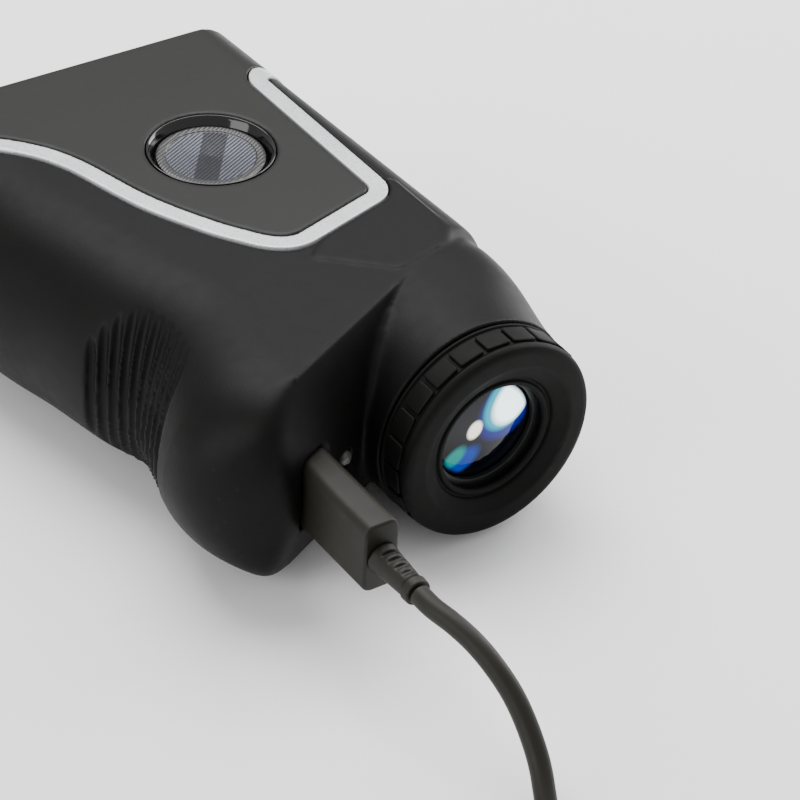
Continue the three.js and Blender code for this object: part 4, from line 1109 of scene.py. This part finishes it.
# %% Domed lenses
def domed(name, node, rear_bulge, front_bulge, segments=128):
    low, high = node_box(node)
    x, z = (low[0] + high[0]) / 2, (low[2] + high[2]) / 2
    radius = (high[0] - low[0]) / 2
    rim_low, rim_high = low[1] + max(rear_bulge, 0), high[1] - max(front_bulge, 0)
    steps = 14
    rear, front = [], []
    for i in range(steps + 1):
        r = max(radius * i / steps, 0.001)
        share = 1 - (r / radius) ** 2
        rear.append((r, rim_low - rear_bulge * share))
        front.insert(0, (r, rim_high + front_bulge * share))
    return turned(name, rear + front, (x, z), segments, 0.05)


lens_set = (
    ("eye_lens_dome", "eye_lens", 1.9, 0.8, eye_glass, "ocular"),
    ("field_lens_dome", "field_lens", 1.4, 0.4, inner_glass, "body"),
    ("objective_dome", "objective_lens", -0.9, 1.2, front_glass, "body"),
    ("receiver_dome", "receiver_lens", -0.6, 1.6, front_glass, "body"),
)
for name, node, rear_bulge, front_bulge, glass, body in lens_set:
    finish_piece(domed(name, node, rear_bulge, front_bulge), body, glass, [node])
print("lenses:", len(lens_set))

# %% [markdown]
# The tube and the lens cell are turned aluminium with fine ribs inside, which kill stray
# light. The retaining rings in front have two small slots for the pin spanner that screws
# them down.

# %% Tube, cell, rings and their ribs
def ribbed(inner, low, high, pitch=0.5, depth=0.16):
    """Bore profile from low to high with small saw-tooth ribs."""
    count = int((high - low) / pitch)
    points = []
    for i in range(count):
        y = low + pitch * i
        points += [(inner, y), (inner + depth, y + pitch * 0.7)]
    return points + [(inner, high)]


tube_low, tube_high = node_box("eyepiece_tube")
tube_front = tube_high[1]
tube = turned("eyepiece_tube_turned", [
    (12.3, tube_low[1]), (12.3, NECK_REAR_Y + 0.3), (15.2, NECK_REAR_Y + 0.3), (15.2, tube_front),
    (9.6, tube_front), (9.6, tube_front - 1.2), (11.7, tube_front - 1.2), (11.7, tube_low[1]),
], segments=128)
finish_piece(tube, "body", barrel_black, ["eyepiece_tube"])
cell_rear = node_box("ocular_cell")[0][1]
cell_profile = [(8.7, cell_rear), (11.4, cell_rear), (11.4, cell_rear + 12)]
cell_profile += list(reversed(ribbed(8.3, cell_rear + 5, cell_rear + 12)))
cell_profile += [(9.4, cell_rear + 5), (9.4, cell_rear + 0.9), (8.7, cell_rear + 0.9)]
cell = turned("ocular_cell_turned", cell_profile, segments=128, radius=0.08)
finish_piece(cell, "ocular", barrel_black, ["ocular_cell"])
for node, lens_node in (("objective_ring", "objective_lens"), ("receiver_ring", "receiver_lens")):
    low, high = node_box(node)
    x, z = (low[0] + high[0]) / 2, (low[2] + high[2]) / 2
    radius = (high[0] - low[0]) / 2
    ring = turned(f"{node}_turned", [
        (radius - 1, low[1]), (radius, low[1]), (radius, high[1]), (radius - 0.6, high[1]),
        (radius - 1, high[1] - 0.5),
    ], (x, z), 128, 0.12)
    for side in (-1, 1):
        notch = outline_rect(1.2, 0.9, 0.1, 3)
        tool = block("notch", [(x + side * (radius - 0.6) + u, z + v) for u, v in notch],
                     high[1] - 0.6, high[1] + 1, lambda u, v, level: (u, level, v))
        ring = combine(ring, tool, "DIFFERENCE")
    finish_piece(soften(ring), "body", barrel_black, [node])
print("turned parts done")

# %% [markdown]
# ## The front bezel
#
# The bezel closes the front: a satin black plate with two round windows whose edges flare
# outwards, held by five small screws in deep seats.

# %% Bezel plate and windows
bezel_low, bezel_high = node_box("front_bezel")
BEZEL_INSET = 1.55


def bezel_ring(level, inset):
    ring = slice_ring(front_y, -BEZEL_INSET - inset, 20)
    return [(x, level, z) for x, _, z in ring]


bezel_rings = [bezel_ring(bezel_low[1] + 0.2 * (1 - math.sin(a)), 0.25 * (1 - math.sin(a)))
               for a in np.linspace(0, math.pi / 2, 4)]
bezel_rings += [bezel_ring(bezel_high[1] - 1.6 + 1.6 * math.sin(a), 1.6 * (1 - math.cos(a)))
                for a in np.linspace(0, math.pi / 2, 10)]
bezel = skinned("bezel_plate", bezel_rings)
windows = []
for lens_node in ("objective_lens", "receiver_lens"):
    low, high = node_box(lens_node)
    x, z = (low[0] + high[0]) / 2, (low[2] + high[2]) / 2
    r = (high[0] - low[0]) / 2
    windows.append(turned("window", [
        (0.001, bezel_low[1] - 1), (r, bezel_low[1] - 1), (r, bezel_high[1] - 1.5),
        (r + 0.35, bezel_high[1] - 0.6), (r + 1.3, bezel_high[1] + 0.4), (0.001, bezel_high[1] + 0.4),
    ], (x, z), 128, 0.3))
    windows.append(turned("seat", [
        (0.001, bezel_low[1] - 2), (r + 1.6, bezel_low[1] - 2), (r + 1.6, bezel_low[1] + 1),
        (0.001, bezel_low[1] + 1)], (x, z), 96))
screw_spots = []
for i in range(1, 6):
    low, high = node_box(f"bezel_screw_{i}")
    screw_spots.append((i, (low[0] + high[0]) / 2, (low[2] + high[2]) / 2, low[1], high[1]))
for _, x, z, low, high in screw_spots:
    windows.append(turned("screw_seat", [
        (0.001, high - 1.4), (2.2, high - 1.4), (2.2, bezel_high[1] + 1), (0.001, bezel_high[1] + 1),
    ], (x, z), 48, 0.05))
    windows.append(turned("screw_hole", [
        (0.001, bezel_low[1] - 1), (1.3, bezel_low[1] - 1), (1.3, high), (0.001, high)], (x, z), 32))
for tool in windows:
    bezel = combine(bezel, tool, "DIFFERENCE")
bezel = moulded(bezel, 0.25, 3)
finish_piece(bezel, "body", bezel_black, ["front_bezel"])
print("bezel:", len(bezel.data.polygons), "faces")

# %% Screws with hex sockets
for i, x, z, low, high in screw_spots:
    screw = turned(f"bezel_screw_turned_{i}", [
        (0.001, low), (0.5, low), (0.8, low + 0.5), (0.8, high - 1.2), (1.9, high - 1.2),
        (1.9, high - 0.35), (1.6, high), (0.001, high),
    ], (x, z), 64, 0.12)
    hexagon = [(x + 0.85 * math.cos(a), z + 0.85 * math.sin(a))
               for a in np.linspace(0, 2 * math.pi, 6, endpoint=False)]
    tool = block("hex", hexagon, high - 0.7, high + 1, lambda u, v, level: (u, level, v))
    finish_piece(soften(combine(screw, tool, "DIFFERENCE")), "body", plated_steel,
                 [f"bezel_screw_{i}"])
print("screws:", len(screw_spots))

# %% [markdown]
# ## The buttons
#
# The round side button sits in a gloss black dished ring. Its face is fine diagonal
# hatching with a plain band across the middle and a flat rim. The fire button on top is a
# broad rounded pad with ribs for the fingertip.

# %% Gloss ring and mode button
mode_cap_low, mode_cap_high = node_box("mode_button")
mode_r = (mode_cap_high[0] - mode_cap_low[0]) / 2
cap_top = mode_cap_high[2]


def turned_up(name, profile, x, y, segments=128, radius=0.15, closed=True):
    """As turned, but about a line that stands up at x, y; the profile lists radius and z."""
    ring = rounded(profile, radius, closed=closed)
    turns = np.linspace(0, 2 * math.pi, segments, endpoint=False)
    points = [(x + r * math.cos(a), y + r * math.sin(a), z) for a in turns for r, z in ring]
    count = len(ring)
    faces = [(s * count + k, s * count + (k + 1) % count,
              ((s + 1) % segments) * count + (k + 1) % count, ((s + 1) % segments) * count + k)
             for s in range(segments) for k in range(count)]
    return soften(outward(make_mesh(name, points, faces)))


gloss = turned_up("mode_button_ring", [
    (mode_r + 0.25, mode_low[2]), (mode_ring_r, mode_low[2]), (mode_ring_r, side_half - 0.12),
    (mode_ring_r - 0.25, side_half - 0.05), (mode_ring_r - 0.6, side_half - 0.45),
    (mode_r + 0.35, cap_top - 0.3), (mode_r + 0.25, cap_top - 0.5),
], mode_x, mode_y, radius=0.2)
finish_piece(gloss, "body", gloss_black, ["mode_ring"])
cap = turned_up("mode_button_cap", [
    (0.001, cap_top - 0.9), (mode_r - 0.05, cap_top - 0.9), (mode_r - 0.05, cap_top - 0.1),
    (mode_r - 0.5, cap_top + 0.05), (7.5, cap_top), (7.35, cap_top - 0.18), (0.001, cap_top - 0.18),
], mode_x, mode_y, radius=0.12)
stem = turned_up("stem", [
    (0.001, mode_cap_low[2]), (2.55, mode_cap_low[2]), (2.55, cap_top - 0.5),
    (0.001, cap_top - 0.5)], mode_x - MODE_STEM_OFFSET, mode_y, 48)
cap = soften(combine(cap, stem, "UNION"))


def hatched_finish():
    material, tree, shader = new_finish("hatched_button", 0.34, 0.75)
    place = tree.nodes.new("ShaderNodeTexCoord")
    shift = tree.nodes.new("ShaderNodeMapping")
    centre = to_world((mode_x, mode_y, 0))
    shift.inputs["Location"].default_value = (-centre[0], -centre[1], 0)
    tree.links.new(place.outputs["Object"], shift.inputs["Vector"])
    turn = tree.nodes.new("ShaderNodeMapping")
    turn.inputs["Rotation"].default_value = (0, 0, math.radians(64.3))
    tree.links.new(shift.outputs["Vector"], turn.inputs["Vector"])
    lines = tree.nodes.new("ShaderNodeTexWave")
    lines.wave_profile = "SIN"
    lines.inputs["Scale"].default_value = 520
    tree.links.new(turn.outputs["Vector"], lines.inputs["Vector"])
    split = tree.nodes.new("ShaderNodeSeparateXYZ")
    tree.links.new(shift.outputs["Vector"], split.inputs["Vector"])
    off = tree.nodes.new("ShaderNodeMath")
    off.operation = "ABSOLUTE"
    band_turn = tree.nodes.new("ShaderNodeMapping")
    band_turn.inputs["Rotation"].default_value = (0, 0, math.radians(-52))
    tree.links.new(shift.outputs["Vector"], band_turn.inputs["Vector"])
    tree.links.new(band_turn.outputs["Vector"], split.inputs["Vector"])
    tree.links.new(split.outputs["Y"], off.inputs[0])
    band = ranged(tree, off.outputs[0], 1, 0, 1.9 * MM, 2.1 * MM)
    reach = tree.nodes.new("ShaderNodeVectorMath")
    reach.operation = "MULTIPLY"
    reach.inputs[1].default_value = (1, 1, 0)
    length = tree.nodes.new("ShaderNodeVectorMath")
    length.operation = "LENGTH"
    tree.links.new(shift.outputs["Vector"], reach.inputs[0])
    tree.links.new(reach.outputs["Vector"], length.inputs[0])
    rim = ranged(tree, length.outputs["Value"], 0, 1, 7.1 * MM, 7.3 * MM)
    hatch = mixed(tree, lines.outputs["Fac"], (0.02, 0.022, 0.03), (0.12, 0.125, 0.15))
    hatch = mixed(tree, band, hatch, (0.022, 0.023, 0.028))
    tone = mixed(tree, rim, hatch, (0.06, 0.06, 0.06))
    tree.links.new(tone, shader.inputs["Base Color"])
    bumped(tree, shader, lines.outputs["Fac"], 0.00006, 0.6)
    return material


hatched = hatched_finish()
finish_piece(cap, "mode", hatched, ["mode_button"])
print("mode button radius", round(mode_r, 1), "mm")

# %% The fire button
FIRE_PROUD = 3.1


def fire_outline(inset):
    return outline_rect(FIRE_LENGTH - 2 * inset, FIRE_WIDTH - 2 * inset,
                        FIRE_WIDTH / 2 - inset, 16)


def fire_dome(u, v, level):
    sag = 0.6 * (u / (FIRE_LENGTH / 2)) ** 2 + 0.15 * (v / (FIRE_WIDTH / 2)) ** 2
    return on_top(u, v, level - (sag if level > 0 else 0))


fire_rings = [[on_top(u, v, -4.2) for u, v in fire_outline(0)],
              [on_top(u, v, 0.1) for u, v in fire_outline(0)]]
for k in range(1, 9):
    a = math.radians(90 * k / 8)
    fire_rings.append([fire_dome(u, v, 0.1 + (FIRE_PROUD - 0.1) * math.sin(a))
                       for u, v in fire_outline(1.1 * (1 - math.cos(a)))])
for inset in (2.6, 4, 5.5, 7, 8.5, 9.8):
    fire_rings.append([fire_dome(u, v, FIRE_PROUD) for u, v in fire_outline(inset)])
fire = skinned("fire_button_pad", fire_rings)
flange = block("flange", outline_rect(FIRE_LENGTH + 2, FIRE_WIDTH, FIRE_WIDTH / 2),
               -4.4, -3.7, on_top)
fire = combine(fire, flange, "UNION")
for i in range(-3, 4):
    rib = shifted_outline(outline_rect(1.1, 20 - 0.8 * i * i, 0.5, 6), 2.4 * i, 0)
    fire = combine(fire, block("rib", rib, FIRE_PROUD - 0.55, 4, on_top), "DIFFERENCE")
fire = moulded(fire, 0.18, 3)
finish_piece(fire, "fire", cover_grey, ["fire_button"])
print("fire button ribs:", 7)

# %% The charge light
led_rear = led_low[1]
light = turned("charge_light_pipe", [
    (0.001, led_rear), (0.5, led_rear + 0.05), (0.95, led_rear + 0.3), (led_r, led_rear + 0.9),
    (led_r, led_high[1]), (0.001, led_high[1]),
], (led_x, 0), 64, 0.3)
finish_piece(light, "body", light_pipe, ["charge_led"])
print("charge light radius", round(led_r, 2))

# %% [markdown]
# ## The works inside
#
# Nobody sees the inside until the shell is opened, and its plain shapes are right as they
# are: boards, blocks, a cell and their carriers. They keep the engineering model's form and
# get proper finishes.

# %% Finishes for the inner parts
inner_finishes = {
    "bezel_gasket": black_rubber, "port_gasket": black_rubber,
    "mode_switch": plated_steel, "fire_switch": plated_steel, "laser_diode": plated_steel,
    "usb_socket": plated_steel, "vibration_motor": plated_steel,
    "mode_switch_board": board_green, "fire_switch_board": board_green,
    "main_board": board_green, "usb_board": board_green, "receiver_sensor": board_green,
    "objective_barrel": barrel_black, "receiver_barrel": barrel_black,
    "prism_carrier": nylon_black, "bulkhead": nylon_black, "battery_cradle": nylon_black,
    "display_panel": display_dark, "prism_block": inner_glass, "battery_cell": cell_blue,
}
for name, material in inner_finishes.items():
    nodes[name].data.materials.clear()
    nodes[name].data.materials.append(material)
print("inner parts finished:", len(inner_finishes))

# %% [markdown]
# ## Table, light and the last line
#
# A dark object on white needs broad, soft light: its form shows only in the reflections it
# carries. One big panel hangs above and behind for the side face, one stands at the left to
# draw the crease and the round heel, and a narrow one at the right edges the neck and ring.

# %% Pale table
table_mesh = bpy.data.meshes.new("table")
half_table = 1.5
table_mesh.from_pydata([(-half_table, -half_table, -0.0002), (half_table, -half_table, -0.0002),
                        (half_table, half_table, -0.0002), (-half_table, half_table, -0.0002)],
                       [], [(0, 1, 2, 3)])
table = bpy.data.objects.new("table", table_mesh)
bpy.context.scene.collection.objects.link(table)
paper, paper_tree, paper_shader = new_finish("table_paper", 0.9)
paper_tree.links.new(mixed(paper_tree, noise(paper_tree, 30), (0.93, 0.93, 0.93),
                           (0.95, 0.95, 0.95)), paper_shader.inputs["Base Color"])
table_mesh.materials.append(paper)

# %% Soft panels and the room
room = bpy.data.worlds.new("room")
bpy.context.scene.world = room
room.use_nodes = True
background = room.node_tree.nodes["Background"]
background.inputs["Color"].default_value = (1, 1, 1, 1)
background.inputs["Strength"].default_value = 0.72


def panel(name, spot, aim, size, power):
    light_data = bpy.data.lights.new(name, "AREA")
    light_data.shape = "RECTANGLE"
    light_data.size, light_data.size_y = size
    light_data.energy = power
    lamp = bpy.data.objects.new(name, light_data)
    bpy.context.scene.collection.objects.link(lamp)
    lamp.location = spot
    lamp.rotation_euler = (Vector(aim) - Vector(spot)).to_track_quat("-Z", "Y").to_euler()
    return lamp


panel("overhead", (0.1, 0.35, 0.75), (0, 0, 0.02), (0.8, 0.6), 11)
panel("left_side", (-0.75, -0.05, 0.35), (0, 0, 0.02), (0.5, 0.5), 3.5)
panel("right_rim", (0.6, 0.1, 0.3), (0, 0, 0.02), (0.25, 0.6), 4)
print("panels: 3")
